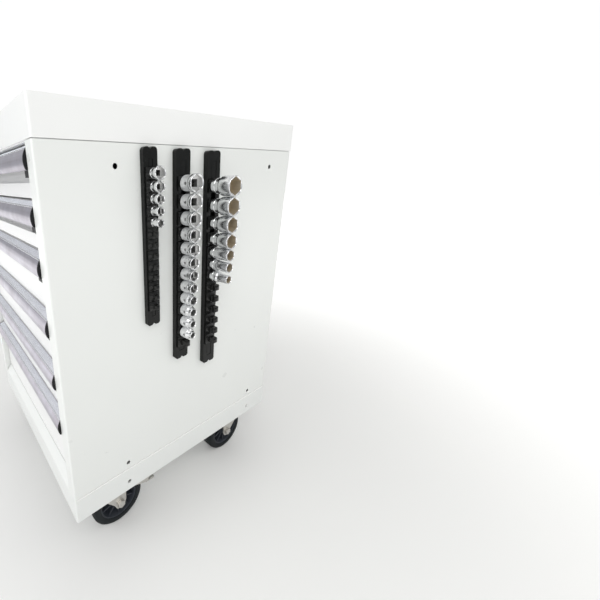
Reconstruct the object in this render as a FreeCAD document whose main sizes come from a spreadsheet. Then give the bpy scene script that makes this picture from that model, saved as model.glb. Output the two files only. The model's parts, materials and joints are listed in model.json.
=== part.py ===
"""Six-drawer roller tool cabinet with three magnetic socket rails on its side.

Units are millimetres. X runs across the front, Y from the front to the back, Z up.
The origin is on the floor, under the middle of the whole outline.
"""
import FreeCAD, Part
import math
import os

import Sketcher
from FreeCAD import Placement, Rotation, Vector

DRAWER_COUNT = 6
CLIPS_PER_RAIL = 13
SOCKET_SIDES = 16
LEAST_BEVEL = 0.05

# name, value, what it is
DRIVING_SIZES = [
    ("cabinet_width", 440, "outside width of the steel body"),
    ("cabinet_depth", 460, "front flange to back"),
    ("carcass_height", 491, "side panel, base to lid seam"),
    ("skirt_height", 44, "base frame"),
    ("floor_clearance", 103, "floor to the underside of the skirt"),
    ("lid_height", 42, "seam to the top of the rim"),
    ("sheet", 1.2, "body sheet steel"),
    ("front_flange", 22, "width of the post each side of the drawers"),
    ("flange_lip", 14, "post's return into the cabinet"),
    ("post_radius", 3, "front corner bend"),
    ("rear_flange", 15, "side panel's return along the back"),
    ("rear_radius", 6, "rear corner bend"),
    ("end_flange", 15, "side panel's return at top and bottom"),
    ("base_sheet", 1.5, "base frame steel"),
    ("base_ledge", 1, "skirt's step beyond the side panels"),
    ("kick_rise", 15, "height of the sloped ledge below the last drawer"),
    ("seam_gap", 1, "shadow gap under the lid"),
    ("seam_depth", 3, "depth of the shadow gap"),
    ("lid_foot", 17, "inner edge of the lid's foot"),
    ("lid_wall", 1.5, "lid sheet"),
    ("lid_rim", 10, "width of the rim round the top"),
    ("lid_recess", 5, "depth of the tray in the lid"),
    ("mat_thickness", 3, "rubber mat in the lid"),
    ("mat_gap", 0.5, "mat to rim"),
    ("hole_diameter", 7, "accessory holes in the side panels"),
    ("hole_front", 95, "first hole from the front"),
    ("hole_pitch_deep", 305, "holes, front to back"),
    ("hole_drop", 25.5, "upper holes below the seam"),
    ("hole_pitch_high", 453, "holes, upper to lower"),
    ("push_hole_drop", 9, "push handle's holes, below the right side's upper ones"),
    ("skirt_hole_drop", 27, "skirt holes below the skirt's top"),
    ("upright_width", 40, "slide uprights"),
    ("hole_clearance", 8, "accessory hole to the upright in front of it"),
    ("drawer_height_1", 61, "pitch of drawer 1, the top one"),
    ("drawer_height_2", 61, "pitch of drawer 2"),
    ("drawer_height_3", 79, "pitch of drawer 3"),
    ("drawer_height_4", 79, "pitch of drawer 4"),
    ("drawer_height_5", 75, "pitch of drawer 5"),
    ("drawer_height_6", 119, "pitch of drawer 6"),
    ("drawer_gap", 2.5, "between one drawer front and the next"),
    ("drawer_side_gap", 1, "drawer front to post"),
    ("panel_recess", 10.5, "drawer front behind the post face"),
    ("front_depth", 14.7, "double skinned drawer front"),
    ("tray_depth", 412, "inside the cabinet, behind the drawer front"),
    ("tray_wall", 1, "drawer sheet"),
    ("tray_lift", 4, "tray floor above the front's lower edge"),
    ("tray_top_drop", 7, "tray wall below the drawer's top"),
    ("scoop_top", 8, "finger scoop starts below the drawer's top"),
    ("scoop_bottom", 42, "finger scoop ends below the drawer's top"),
    ("scoop_depth", 11.5, "finger scoop into the drawer front"),
    ("nose_drop", 7, "handle's bright nose below the drawer's top"),
    ("handle_bulge", 4, "handle's face in front of the posts"),
    ("handle_height", 29, "handle's lower lip below the drawer's top"),
    ("handle_wall", 1.8, "handle extrusion"),
    ("handle_curve", 22, "radius of the handle's face"),
    ("cap_plate", 2, "end cap's cheek"),
    ("cap_length", 20, "end cap's block"),
    ("cap_foot", 36.5, "end cap's foot below the drawer's top"),
    ("slide_length", 400, "drawer slides"),
    ("slide_height", 35, "outer slide member"),
    ("slide_space", 12.7, "upright to tray"),
    ("slide_steel", 1.2, "slide members' steel"),
    ("slide_start", 28, "slides behind the post face"),
    ("running_gap", 0.3, "between members that slide"),
    ("race_gap", 4.6, "ball race thickness"),
    ("castor_inset", 43, "swivel axis from the cabinet's side"),
    ("castor_from_end", 56.4, "swivel axis from the front and back"),
    ("castor_height", 127, "floor to the castor's plate"),
    ("castor_trail", 32, "swivel axis to axle"),
    ("wheel_radius", 50, "castor wheel"),
    ("wheel_width", 30, "tyre"),
    ("axle_radius", 4, "castor axle"),
    ("kingpin_radius", 6, "swivel pin"),
    ("turning_gap", 0.05, "radial play of a pin in its bore"),
    ("plate_width", 65, "castor plate"),
    ("plate_length", 90, "castor plate"),
    ("plate_thickness", 3, "castor plate"),
    ("fork_steel", 2.5, "castor fork"),
    ("fork_tip", 12, "fork leg's end round the axle"),
    ("crown_radius", 26, "castor swivel head"),
    ("crown_height", 6, "castor swivel head"),
    ("axle_nut", 13, "across the axle nuts"),
    ("hub_radius", 13, "wheel hub"),
    ("tyre_shoulder", 5, "bevel of the tyre"),
    ("pedal_pin", 3, "brake pedal's pivots"),
    ("pedal_pivot", 26, "brake pedal's pivots from the swivel axis"),
    ("push_bar_radius", 11, "push handle's tube"),
    ("push_bar_reach", 48.4, "push handle's outside beyond the side panel"),
    ("push_bar_overhang", 20, "tube beyond its arms"),
    ("push_arm_width", 16, "push handle's brackets"),
    ("lock_radius", 10, "lock plug"),
    ("lock_offset", 150, "lock left of the middle"),
    ("clip_gap", 0.3, "between closed up clips"),
    ("socket_gap", 0.4, "between neighbouring sockets"),
    ("stud_play", 0.3, "socket's square on a stud, each side"),
    ("clip_plate", 2.2, "clip's plate"),
    ("clip_shoulder", 2, "clip's sloped shoulder"),
    ("clip_inset", 2, "clip's plate in from the rail's edge"),
    ("clip_ear", 3, "clip's ear under the track's lip"),
    ("stud_rise", 1, "stud's straight part, as a share of its width"),
    ("stud_chamfer", 1.2, "stud's tip"),
    ("slot_floor", 3, "track left under the clips"),
    ("slot_height", 2.5, "room for the clips' ears"),
    ("rail_corner", 5, "shoulder at the rail's ends"),
    ("rail_notch", 3.4, "half the notch at the rail's ends"),
    ("rail_stop", 14, "solid end of the track"),
    ("magnet_width", 14, "magnets in the rail's back"),
    ("magnet_height", 20, "magnets in the rail's back"),
    ("magnet_thickness", 2.5, "magnets in the rail's back"),
    ("magnet_play", 0.1, "magnet in its recess"),
    ("magnet_from_end", 22, "outer magnets from the rail's ends"),
    ("socket_cone", 0.14, "part of a socket's length that is cone"),
]

# rail, its sizes, and its sockets from the top down, by the width of the nuts they fit
RAIL_SIZES = ("from_front", "below_seam", "lean", "width", "thickness", "length", "stud", "clip", "first",
              "collar", "longest", "shortest", "collar_share")
RAIL_TABLE = [
    ("front", (141.5, 3, 0.8, 22, 7, 240, 6.3, 14.5, 31, 11.8, 15.9, 15.4, 0.5), (13, 11, 10, 9, 8)),
    ("middle", (195.5, 3.6, 0.8, 25, 8, 314, 9.4, 18.6, 43.5, 17.6, 22.2, 20.2, 0.62),
     (19, 18, 17, 16, 15, 14, 13, 12, 11, 10, 9, 8)),
    ("rear", (254, 4.5, 1.6, 26, 8, 345, 9.4, 18.7, 48, 17.6, 35.9, 32.1, 0.36), (22, 21, 19, 18, 14, 12, 10)),
]
RAIL_NOTES = {
    "from_front": "middle of the rail's top, from the post face",
    "below_seam": "rail's top below the lid seam",
    "lean": "degrees, foot toward the back",
    "width": "across the rail",
    "thickness": "track",
    "length": "top to bottom",
    "stud": "square stud of a clip",
    "clip": "length of a clip along the track",
    "first": "first clip below the rail's top",
    "collar": "drive end of its sockets",
    "longest": "length of its top socket",
    "shortest": "length of its lowest socket",
    "collar_share": "part of a socket's length that is drive end",
}
for word, values, flats in RAIL_TABLE:
    for name, value in zip(RAIL_SIZES, values):
        DRIVING_SIZES.append(("%s_rail_%s" % (word, name), value, RAIL_NOTES[name]))
    for index, width in enumerate(flats):
        DRIVING_SIZES.append(("%s_socket_%d" % (word, index + 1), width, "nut the socket fits"))


class Size:
    """A length that knows both its number and the sheet formula that gives it."""

    def __init__(self, value, text):
        self.value = value
        self.text = text

    def _join(self, other, sign, value):
        return Size(value, "(%s %s %s)" % (self.text, sign, size_of(other).text))

    def __add__(self, other):
        return self._join(other, "+", self.value + size_of(other).value)

    def __sub__(self, other):
        return self._join(other, "-", self.value - size_of(other).value)

    def __mul__(self, other):
        return self._join(other, "*", self.value * size_of(other).value)

    def __truediv__(self, other):
        return self._join(other, "/", self.value / size_of(other).value)

    def __radd__(self, other):
        return size_of(other) + self

    def __rsub__(self, other):
        return size_of(other) - self

    def __rmul__(self, other):
        return size_of(other) * self

    def __neg__(self):
        return Size(-self.value, "(-1 * %s)" % self.text)


def size_of(thing):
    """Turn a plain number into a Size, and leave a Size alone."""
    if isinstance(thing, Size):
        return thing
    return Size(float(thing), "%.6g" % thing)


def larger(first, second):
    """The larger of two sizes, as a sheet formula too."""
    first = size_of(first)
    second = size_of(second)
    return Size(max(first.value, second.value), "max(%s; %s)" % (first.text, second.text))


def write_sheet():
    """Put every driving size in a spreadsheet, with its note."""
    sheet = doc.addObject("Spreadsheet::Sheet", "Sizes")
    for row, (name, value, note) in enumerate(DRIVING_SIZES, start=1):
        sheet.set("A%d" % row, name)
        sheet.set("B%d" % row, str(value))
        sheet.setAlias("B%d" % row, name)
        sheet.set("C%d" % row, note)
    doc.recompute()
    return sheet


class Sizes:
    """The driving sizes, read by name from the sheet."""

    def __init__(self, sheet):
        self._cells = sheet

    def __getattr__(self, name):
        return Size(float(self._cells.get(name)), "Sizes." + name)


doc = FreeCAD.newDocument("roller_cabinet")
S = Sizes(write_sheet())
nodes = []
volume_checks = []


# ---------------------------------------------------------------- helpers


def bind(thing, **properties):
    """Tie properties to sheet formulas. Two underscores stand for a dot."""
    for name, size in properties.items():
        size = size_of(size)
        path = name.replace("__", ".")
        thing.setExpression(path, size.text)


def put(thing, x=0, y=0, z=0, rotation=None):
    """Place an object, its position tied to the sheet."""
    x, y, z = size_of(x), size_of(y), size_of(z)
    rotation = rotation or Rotation()
    thing.Placement = Placement(Vector(x.value, y.value, z.value), rotation)
    bind(thing, Placement__Base__x=x, Placement__Base__y=y, Placement__Base__z=z)
    return thing


ALONG_X = Rotation(Vector(0, 1, 0), 90)
ALONG_Y = Rotation(Vector(1, 0, 0), -90)


def block(name, x_range, y_range, z_range):
    """A box between two values on each axis."""
    box = doc.addObject("Part::Box", name)
    spans = [size_of(high) - low for low, high in (x_range, y_range, z_range)]
    bind(box, Length=spans[0], Width=spans[1], Height=spans[2])
    return put(box, x_range[0], y_range[0], z_range[0])


def rod(name, radius, length, x, y, z, rotation=None):
    """A cylinder that starts at x, y, z and runs along its rotation's axis."""
    cylinder = doc.addObject("Part::Cylinder", name)
    bind(cylinder, Radius=radius, Height=length)
    return put(cylinder, x, y, z, rotation)


def taper(name, radius_1, radius_2, length, x, y, z, rotation=None):
    """A cone frustum."""
    cone = doc.addObject("Part::Cone", name)
    bind(cone, Radius1=radius_1, Radius2=radius_2, Height=length)
    return put(cone, x, y, z, rotation)


def hexagon(name, across_flats, length, x, y, z, rotation=None):
    """A hexagonal prism, sized across its flats."""
    prism = doc.addObject("Part::Prism", name)
    prism.Polygon = 6
    bind(prism, Circumradius=size_of(across_flats) / math.sqrt(3), Height=length)
    return put(prism, x, y, z, rotation)


def many_sided(name, sides, radius, length, x, y, z, rotation=None):
    """A prism with so many sides that it reads as round, for turned pieces that repeat."""
    prism = doc.addObject("Part::Prism", name)
    prism.Polygon = sides
    bind(prism, Circumradius=radius, Height=length)
    return put(prism, x, y, z, rotation)


def bevelled_prism(name, sides, radius, length, rims, along, inward):
    """A many-sided prism on Z whose "low" or "high" rims are bevelled, so far along it and so far inward."""
    body = doc.addObject("PartDesign::Body", name)
    prism = doc.addObject("PartDesign::AdditivePrism", name + "_prism")
    prism.Polygon = sides
    bind(prism, Circumradius=radius, Height=length)
    body.addObject(prism)
    doc.recompute()
    chosen = []
    for number, face in enumerate(prism.Shape.Faces, 1):
        slope = face.normalAt(0, 0).z
        if (slope > 0.9 and "high" in rims) or (slope < -0.9 and "low" in rims):
            chosen.append("Face%d" % number)
    bevel = doc.addObject("PartDesign::Chamfer", name + "_bevel")
    body.addObject(bevel)
    bevel.Base = (prism, chosen)
    bevel.ChamferType = "Two distances"
    bind(bevel, Size=along, Size2=inward)
    return body


def fused(name, *pieces):
    """One solid from several that meet."""
    joined = doc.addObject("Part::MultiFuse", name)
    joined.Shapes = list(pieces)
    joined.Refine = True
    return joined


def minus(name, base, *tools):
    """A solid with one or more others taken out of it."""
    tool = tools[0] if len(tools) == 1 else fused(name + "_tools", *tools)
    difference = doc.addObject("Part::Cut", name)
    difference.Base = base
    difference.Tool = tool
    return difference


def group(name, *pieces):
    """Separate solids kept together in one node."""
    compound = doc.addObject("Part::Compound", name)
    compound.Links = list(pieces)
    return compound


def node(thing, label):
    """Mark an object as one of the sub-parts to be written."""
    thing.Label = label
    nodes.append(thing)
    return thing


class Profiled:
    """A PartDesign body made from closed profiles."""

    PLANES = {"top": "XY_Plane", "front": "XZ_Plane", "side": "YZ_Plane"}

    def __init__(self, name):
        self.name = name
        self.body = doc.addObject("PartDesign::Body", name)
        self.count = 0

    def sketch(self, plane, loops, offset=0):
        """A sketch of closed loops. Each corner is (a, b) or (a, b, radius, turn).

        A corner with a radius starts an arc to the next corner; turn is "left" or "right".
        A round hole is ("circle", a, b, radius).
        """
        self.count += 1
        sketch = self.body.newObject("Sketcher::SketchObject", "%s_outline_%d" % (self.name, self.count))
        role = self.PLANES[plane]
        origin = [f for f in self.body.Origin.OriginFeatures if f.Role == role][0]
        sketch.AttachmentSupport = [(origin, "")]
        sketch.MapMode = "FlatFace"
        if isinstance(offset, Size) or offset:
            bind(sketch, AttachmentOffset__Base__z=offset)
        for loop in loops:
            self._loop(sketch, loop)
        return sketch

    def _loop(self, sketch, corners):
        if corners[0] == "circle":
            self._circle(sketch, *corners[1:])
            return
        ends = []
        for index, corner in enumerate(corners):
            following = corners[(index + 1) % len(corners)]
            here = Vector(size_of(corner[0]).value, size_of(corner[1]).value, 0)
            there = Vector(size_of(following[0]).value, size_of(following[1]).value, 0)
            if len(corner) == 2:
                item = sketch.addGeometry(Part.LineSegment(here, there))
                ends.append((item, 1, 2, corner))
                continue
            turn = 1 if corner[3] == "left" else -1
            item = sketch.addGeometry(arc_between(here, there, size_of(corner[2]).value, turn))
            first, last = (1, 2) if turn == 1 else (2, 1)
            ends.append((item, first, last, corner))
        for index, (item, first, last, corner) in enumerate(ends):
            after = ends[(index + 1) % len(ends)]
            sketch.addConstraint(Sketcher.Constraint("Coincident", item, last, after[0], after[1]))
        for item, first, last, corner in ends:
            self._pin(sketch, item, first, "DistanceX", corner[0])
            self._pin(sketch, item, first, "DistanceY", corner[1])
            if len(corner) > 2:
                self._pin(sketch, item, None, "Radius", corner[2])

    def _circle(self, sketch, a, b, radius):
        a, b, radius = size_of(a), size_of(b), size_of(radius)
        centre = Vector(a.value, b.value, 0)
        item = sketch.addGeometry(Part.Circle(centre, Vector(0, 0, 1), radius.value))
        self._pin(sketch, item, 3, "DistanceX", a)
        self._pin(sketch, item, 3, "DistanceY", b)
        self._pin(sketch, item, None, "Radius", radius)

    def _pin(self, sketch, item, end, kind, size):
        size = size_of(size)
        if kind == "Radius":
            constraint = Sketcher.Constraint("Radius", item, size.value)
        else:
            constraint = Sketcher.Constraint(kind, -1, 1, item, end, size.value)
        index = sketch.addConstraint(constraint)
        if "Sizes." in size.text:
            label = "pin_%d" % index
            sketch.renameConstraint(index, label)
            sketch.setExpression("Constraints." + label, size.text)

    def _feature(self, kind, sketch, **properties):
        before = self.body.Tip
        feature = self.body.newObject("PartDesign::" + kind, "%s_%s_%d" % (self.name, kind.lower(), self.count))
        feature.Profile = sketch
        for name, value in properties.items():
            if isinstance(value, Size):
                bind(feature, **{name: value})
            else:
                setattr(feature, name, value)
        self.body.Tip = feature
        volume_checks.append((kind, before, feature))
        return feature

    def pad(self, sketch, length, reverse=False, both_ways=False):
        """Add material along the sketch's normal."""
        side = "Symmetric" if both_ways else "One side"
        return self._feature("Pad", sketch, Length=size_of(length), Reversed=reverse, SideType=side)

    def pocket(self, sketch, depth, reverse=False):
        """Take material away against the sketch's normal, or along it if reversed."""
        return self._feature("Pocket", sketch, Length=size_of(depth), Reversed=reverse)

    def revolve(self, sketch, axis):
        """Turn the sketch a full circle about one of its own axes."""
        return self._feature("Revolution", sketch, ReferenceAxis=(sketch, [axis]), Angle=360.0)

    def repeat(self, feature, axis_role, pitch, copies):
        """Copy a feature in a row along one of the body's axes."""
        before = self.body.Tip
        pattern = self.body.newObject("PartDesign::LinearPattern", self.name + "_row")
        axis = [f for f in self.body.Origin.OriginFeatures if f.Role == axis_role][0]
        pattern.Originals = [feature]
        pattern.Direction = (axis, [""])
        pattern.Mode = "Spacing"
        pattern.Occurrences = copies
        bind(pattern, Offset=pitch)
        self.body.Tip = pattern
        volume_checks.append((feature.TypeId.split("::")[1], before, pattern))
        return pattern


def arc_between(start, end, radius, turn):
    """The arc of a radius from start to end that turns left (1) or right (-1)."""
    middle = (start + end) * 0.5
    along = end - start
    half = along.Length / 2
    rise = math.sqrt(max(radius * radius - half * half, 0.0))
    normal = Vector(-along.y, along.x, 0).normalize()
    centre = middle + normal * (rise * turn)
    first, last = (start, end) if turn == 1 else (end, start)
    angle_1 = math.atan2(first.y - centre.y, first.x - centre.x)
    angle_2 = math.atan2(last.y - centre.y, last.x - centre.x)
    circle = Part.Circle(centre, Vector(0, 0, 1), radius)
    return Part.ArcOfCircle(circle, angle_1, angle_2 if angle_2 > angle_1 else angle_2 + 2 * math.pi)


def rectangle(x_range, y_range):
    """Four corners, counter-clockwise."""
    (x0, x1), (y0, y1) = x_range, y_range
    return [(x0, y0), (x1, y0), (x1, y1), (x0, y1)]


def round_rectangle(x_range, y_range, radius):
    """A rectangle whose corners are arcs."""
    (x0, x1), (y0, y1) = x_range, y_range
    return [
        (x0 + radius, y0), (x1 - radius, y0, radius, "left"),
        (x1, y0 + radius), (x1, y1 - radius, radius, "left"),
        (x1 - radius, y1), (x0 + radius, y1, radius, "left"),
        (x0, y1 - radius), (x0, y0 + radius, radius, "left"),
    ]


# ---------------------------------------------------------------- shared places

HALF_WIDTH = S.cabinet_width / 2
FRONT = (S.handle_bulge - S.cabinet_depth) / 2
BACK = FRONT + S.cabinet_depth
SKIRT_BOTTOM = S.floor_clearance
BASE_TOP = SKIRT_BOTTOM + S.skirt_height
SEAM = BASE_TOP + S.carcass_height
TOP = SEAM + S.lid_height
OPENING_HALF = HALF_WIDTH - S.front_flange
PANEL_HALF = OPENING_HALF - S.drawer_side_gap
TRAY_HALF = OPENING_HALF - S.slide_space
PANEL_FACE = FRONT + S.panel_recess
TRAY_FRONT = PANEL_FACE + S.front_depth
HOLE_RADIUS = S.hole_diameter / 2
UPPER_HOLES = SEAM - S.hole_drop
LOWER_HOLES = UPPER_HOLES - S.hole_pitch_high
PUSH_HOLES = UPPER_HOLES - S.push_hole_drop


def drawer_height(number):
    """Pitch of one drawer, counted from the top."""
    return getattr(S, "drawer_height_%d" % number)


def drawer_top(number):
    """Height of the gap line above one drawer."""
    top = SEAM
    for above in range(1, number):
        top = top - drawer_height(above)
    return top


def tray_floor(number):
    """Underside of a drawer's tray."""
    return drawer_top(number) - drawer_height(number) + S.drawer_gap / 2 + S.tray_lift


def slide_height_of(number):
    """Height of a drawer's slides, at their middle."""
    return tray_floor(number) + S.slide_height / 2 + 2


# ---------------------------------------------------------------- steel body


def side_panel(label, side):
    """A folded side: post, lip, web and rear return, with its ends turned in."""
    panel = Profiled(label)
    outer = side * HALF_WIDTH
    inner = side * (HALF_WIDTH - S.sheet)
    edge = side * OPENING_HALF
    edge_inner = side * (OPENING_HALF + S.sheet)
    turn = "left" if side > 0 else "right"
    other = "right" if side > 0 else "left"
    bend = S.post_radius
    corner = S.rear_radius
    corners = [
        (side * (HALF_WIDTH - bend), FRONT, bend, turn),
        (outer, FRONT + bend),
        (outer, BACK - corner, corner, turn),
        (side * (HALF_WIDTH - corner), BACK),
        (side * (HALF_WIDTH - S.rear_flange), BACK),
        (side * (HALF_WIDTH - S.rear_flange), BACK - S.sheet),
        (side * (HALF_WIDTH - corner), BACK - S.sheet, corner - S.sheet, other),
        (inner, BACK - corner),
        (inner, FRONT + bend, bend - S.sheet, other),
        (side * (HALF_WIDTH - bend), FRONT + S.sheet),
        (edge_inner, FRONT + S.sheet),
        (edge_inner, FRONT + S.flange_lip),
        (edge, FRONT + S.flange_lip),
        (edge, FRONT),
    ]
    panel.pad(panel.sketch("top", [corners], BASE_TOP), S.carcass_height)
    x_span = (side * (HALF_WIDTH - S.end_flange), inner)
    y_span = (FRONT + S.sheet + bend, BACK - S.sheet - corner)
    for level in (BASE_TOP, SEAM - S.sheet):
        panel.pad(panel.sketch("top", [rectangle(x_span, y_span)], level), S.sheet)
    hole = HOLE_RADIUS
    for y in (FRONT + S.hole_front, FRONT + S.hole_front + S.hole_pitch_deep):
        for z in (UPPER_HOLES if side > 0 else PUSH_HOLES, LOWER_HOLES):
            cutter = panel.sketch("side", [("circle", y, z, hole)], side * (HALF_WIDTH + 1))
            panel.pocket(cutter, 2 + S.sheet, reverse=side < 0)
    return node(panel.body, label)


def back_panel():
    """A flat sheet behind the drawers, inside the rear returns, with pressed swages."""
    panel = Profiled("back_panel")
    half = HALF_WIDTH - S.rear_radius - 0.5
    outline = rectangle((-half, half), (BASE_TOP, SEAM))
    face = -1 * (BACK - S.sheet)
    panel.pad(panel.sketch("front", [outline], face), S.sheet)
    return node(panel.body, "back_panel")


def lid():
    """Top pan with a rim, a shallow tray, a shadow-gap foot and the lock's bore."""
    pan = Profiled("top_lid")
    x_full, y_full = (-HALF_WIDTH, HALF_WIDTH), (FRONT, BACK)

    def inset(amount):
        return (-(HALF_WIDTH - amount), HALF_WIDTH - amount), (FRONT + amount, BACK - amount)

    bottom = SEAM + S.seam_gap
    pan.pad(pan.sketch("top", [round_rectangle(x_full, y_full, S.post_radius)], bottom), TOP - bottom)
    hollow = pan.sketch("top", [rectangle(*inset(S.lid_wall))], bottom)
    pan.pocket(hollow, S.lid_height - S.seam_gap - S.lid_recess - S.lid_wall, reverse=True)
    tray = pan.sketch("top", [rectangle(*inset(S.lid_rim))], TOP)
    pan.pocket(tray, S.lid_recess)
    flange = pan.sketch("top", [rectangle(*inset(S.lid_wall / 2)), rectangle(*inset(S.lid_foot))], bottom)
    pan.pad(flange, S.sheet)
    foot = pan.sketch("top", [rectangle(*inset(S.seam_depth)), rectangle(*inset(S.lid_foot))], SEAM)
    pan.pad(foot, S.seam_gap + S.sheet / 2)
    bore = S.lock_radius + S.turning_gap
    middle = SEAM + S.lid_height / 2
    front_bore = pan.sketch("front", [("circle", -S.lock_offset, middle, bore)], -1 * (FRONT - 1))
    pan.pocket(front_bore, S.lid_wall + 2)
    node(pan.body, "top_lid")
    mat = Profiled("top_mat")
    gap = S.lid_rim + S.mat_gap
    mat.pad(mat.sketch("top", [rectangle(*inset(gap))], TOP - S.lid_recess), S.mat_thickness)
    node(mat.body, "top_mat")


def base_frame():
    """Inverted tray with skirts, two castor channels and the sloped ledge under the drawers."""
    frame = Profiled("base_tray")
    wide = HALF_WIDTH + S.base_ledge
    outline = round_rectangle((-wide, wide), (FRONT, BACK), S.post_radius)
    frame.pad(frame.sketch("top", [outline], SKIRT_BOTTOM), S.skirt_height)
    inner = wide - S.base_sheet
    hollow = rectangle((-inner, inner), (FRONT + S.base_sheet, BACK - S.base_sheet))
    frame.pocket(frame.sketch("top", [hollow], SKIRT_BOTTOM), S.skirt_height - S.base_sheet, reverse=True)
    ledge = [
        (FRONT + S.base_sheet, BASE_TOP - S.base_sheet / 2),
        (PANEL_FACE + S.front_depth, BASE_TOP - S.base_sheet / 2),
        (PANEL_FACE + S.front_depth, BASE_TOP + S.kick_rise),
        (PANEL_FACE, BASE_TOP + S.kick_rise),
        (FRONT, BASE_TOP),
    ]
    frame.pad(frame.sketch("side", [ledge]), 2 * PANEL_HALF, both_ways=True)
    hole = HOLE_RADIUS
    level = BASE_TOP - S.skirt_hole_drop
    for side in (1, -1):
        for y in (FRONT + S.hole_front, FRONT + S.hole_front + S.hole_pitch_deep):
            cutter = frame.sketch("side", [("circle", y, level, hole)], side * (wide + 1))
            frame.pocket(cutter, 1 + S.base_sheet + 1, reverse=side < 0)
    channels = []
    under = BASE_TOP - S.base_sheet
    for side, word in ((1, "right"), (-1, "left")):
        middle = HALF_WIDTH - S.castor_inset
        reach = S.plate_width / 2 + 3
        near, far = middle - reach, middle + reach
        channel = Profiled("channel_" + word)
        steel = S.base_sheet
        corners = [
            (side * near, under), (side * near, S.castor_height),
            (side * far, S.castor_height), (side * far, under),
            (side * (far - steel), under), (side * (far - steel), S.castor_height + steel),
            (side * (near + steel), S.castor_height + steel), (side * (near + steel), under),
        ]
        depth = S.cabinet_depth - 2 * S.base_sheet
        front_plane = channel.sketch("front", [corners], -1 * (FRONT + S.base_sheet))
        channel.pad(front_plane, depth, reverse=True)
        channels.append(channel.body)
    return node(fused("base_frame", frame.body, *channels), "base_frame")


def slide_uprights():
    """Four hat channels, two each side, that carry the slides level with the posts."""
    uprights = []
    for side in (1, -1):
        for rear in (0, 1):
            start = FRONT + S.flange_lip + 1
            if rear:
                start = FRONT + S.hole_front + S.hole_pitch_deep - HOLE_RADIUS - S.hole_clearance - S.upright_width
            end = start + S.upright_width
            outside = side * (HALF_WIDTH - S.sheet)
            face = side * OPENING_HALF
            back_of_face = side * (OPENING_HALF + S.sheet)
            corners = [
                (outside, start), (face, start), (face, end), (outside, end),
                (outside, end - S.sheet), (back_of_face, end - S.sheet),
                (back_of_face, start + S.sheet), (outside, start + S.sheet),
            ]
            name = "upright_%s_%s" % ("right" if side > 0 else "left", "rear" if rear else "front")
            upright = Profiled(name)
            upright.pad(upright.sketch("top", [corners], BASE_TOP + S.sheet), S.carcass_height - 2 * S.sheet)
            uprights.append(upright.body)
    return node(group("slide_uprights", *uprights), "slide_uprights")


# ---------------------------------------------------------------- drawer slides


def channel_member(name, side, number, web, flange_end, half_outside, half_inside):
    """One slide member as a channel section along Y.

    web is its back plane and flange_end its open edge, both measured from the upright.
    """
    member = Profiled(name)
    level = slide_height_of(number)

    def at(distance):
        return side * (OPENING_HALF - distance)

    steel = S.slide_steel
    toward = 1 if flange_end.value > web.value else -1
    corners = [
        (at(web), level - half_outside), (at(flange_end), level - half_outside),
        (at(flange_end), level - half_inside), (at(web + toward * steel), level - half_inside),
        (at(web + toward * steel), level + half_inside), (at(flange_end), level + half_inside),
        (at(flange_end), level + half_outside), (at(web), level + half_outside),
    ]
    front_plane = member.sketch("front", [corners], -1 * (FRONT + S.slide_start))
    member.pad(front_plane, S.slide_length, reverse=True)
    return member.body


def slide_members():
    """Fixed, middle and drawer members of the twelve ball slides."""
    steel = S.slide_steel
    gap = S.running_gap
    outer_half = S.slide_height / 2
    race_half = outer_half - steel - gap
    inner_half = race_half - S.race_gap - gap
    space = S.slide_space
    fixed = []
    for number in range(1, DRAWER_COUNT + 1):
        middle, moving = [], []
        for side, word in ((1, "right"), (-1, "left")):
            tag = "%d_%s" % (number, word)
            fixed.append(channel_member(
                "fixed_" + tag, side, number, size_of(0), space - 3.2, outer_half, outer_half - steel))
            middle.append(channel_member(
                "middle_" + tag, side, number, steel + gap, space - 2.2, race_half, race_half - S.race_gap))
            moving.append(channel_member(
                "moving_" + tag, side, number, space, steel + gap + steel + gap, inner_half, inner_half - steel))
        node(group("drawer_%d_middle_slides" % number, *middle), "drawer_%d_middle_slides" % number)
        node(group("drawer_%d_runners" % number, *moving), "drawer_%d_runners" % number)
    node(group("cabinet_slides", *fixed), "cabinet_slides")


# ---------------------------------------------------------------- drawers


def drawer_tray(number):
    """Double skinned front with a finger scoop, and an open tray behind it."""
    name = "drawer_%d_tray" % number
    tray = Profiled(name)
    top = drawer_top(number)
    height = drawer_height(number)
    high = top - S.drawer_gap / 2
    low = top - height + S.drawer_gap / 2
    wall = S.sheet
    rear = TRAY_FRONT
    scoop_rear = PANEL_FACE + S.scoop_depth
    outline = [
        (rear, high), (PANEL_FACE, high), (PANEL_FACE, top - S.scoop_top), (scoop_rear, top - S.scoop_top),
        (scoop_rear, top - S.scoop_bottom), (PANEL_FACE, top - S.scoop_bottom), (PANEL_FACE, low), (rear, low),
    ]
    hollow = rectangle((PANEL_FACE + wall, rear - wall), (low + wall, top - S.scoop_bottom - wall))
    tray.pad(tray.sketch("side", [outline, hollow]), 2 * PANEL_HALF, both_ways=True)
    floor = tray_floor(number)
    rim = top - S.tray_top_drop
    end = rear + S.tray_depth
    box = rectangle((-TRAY_HALF, TRAY_HALF), (rear - wall / 2, end))
    tray.pad(tray.sketch("top", [box], floor), rim - floor)
    inside_half = TRAY_HALF - S.tray_wall
    inside = rectangle((-inside_half, inside_half), (rear, end - S.tray_wall))
    tray.pocket(tray.sketch("top", [inside], rim), rim - floor - S.tray_wall)
    return node(tray.body, name)


def handle_face(top, inset=0):
    """Corners of the handle's outer face, from its rear top edge to its lower lip."""
    return [
        (PANEL_FACE, top - S.drawer_gap / 2),
        (FRONT + 0.4, top - S.nose_drop + 0.4),
        (FRONT - 0.6, top - S.nose_drop - 1, S.handle_curve, "left"),
        (FRONT - 2.2, top - S.handle_height + 0.6),
        (FRONT - 1.2, top - S.handle_height),
        (FRONT + 0.8, top - S.handle_height),
    ]


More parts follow.
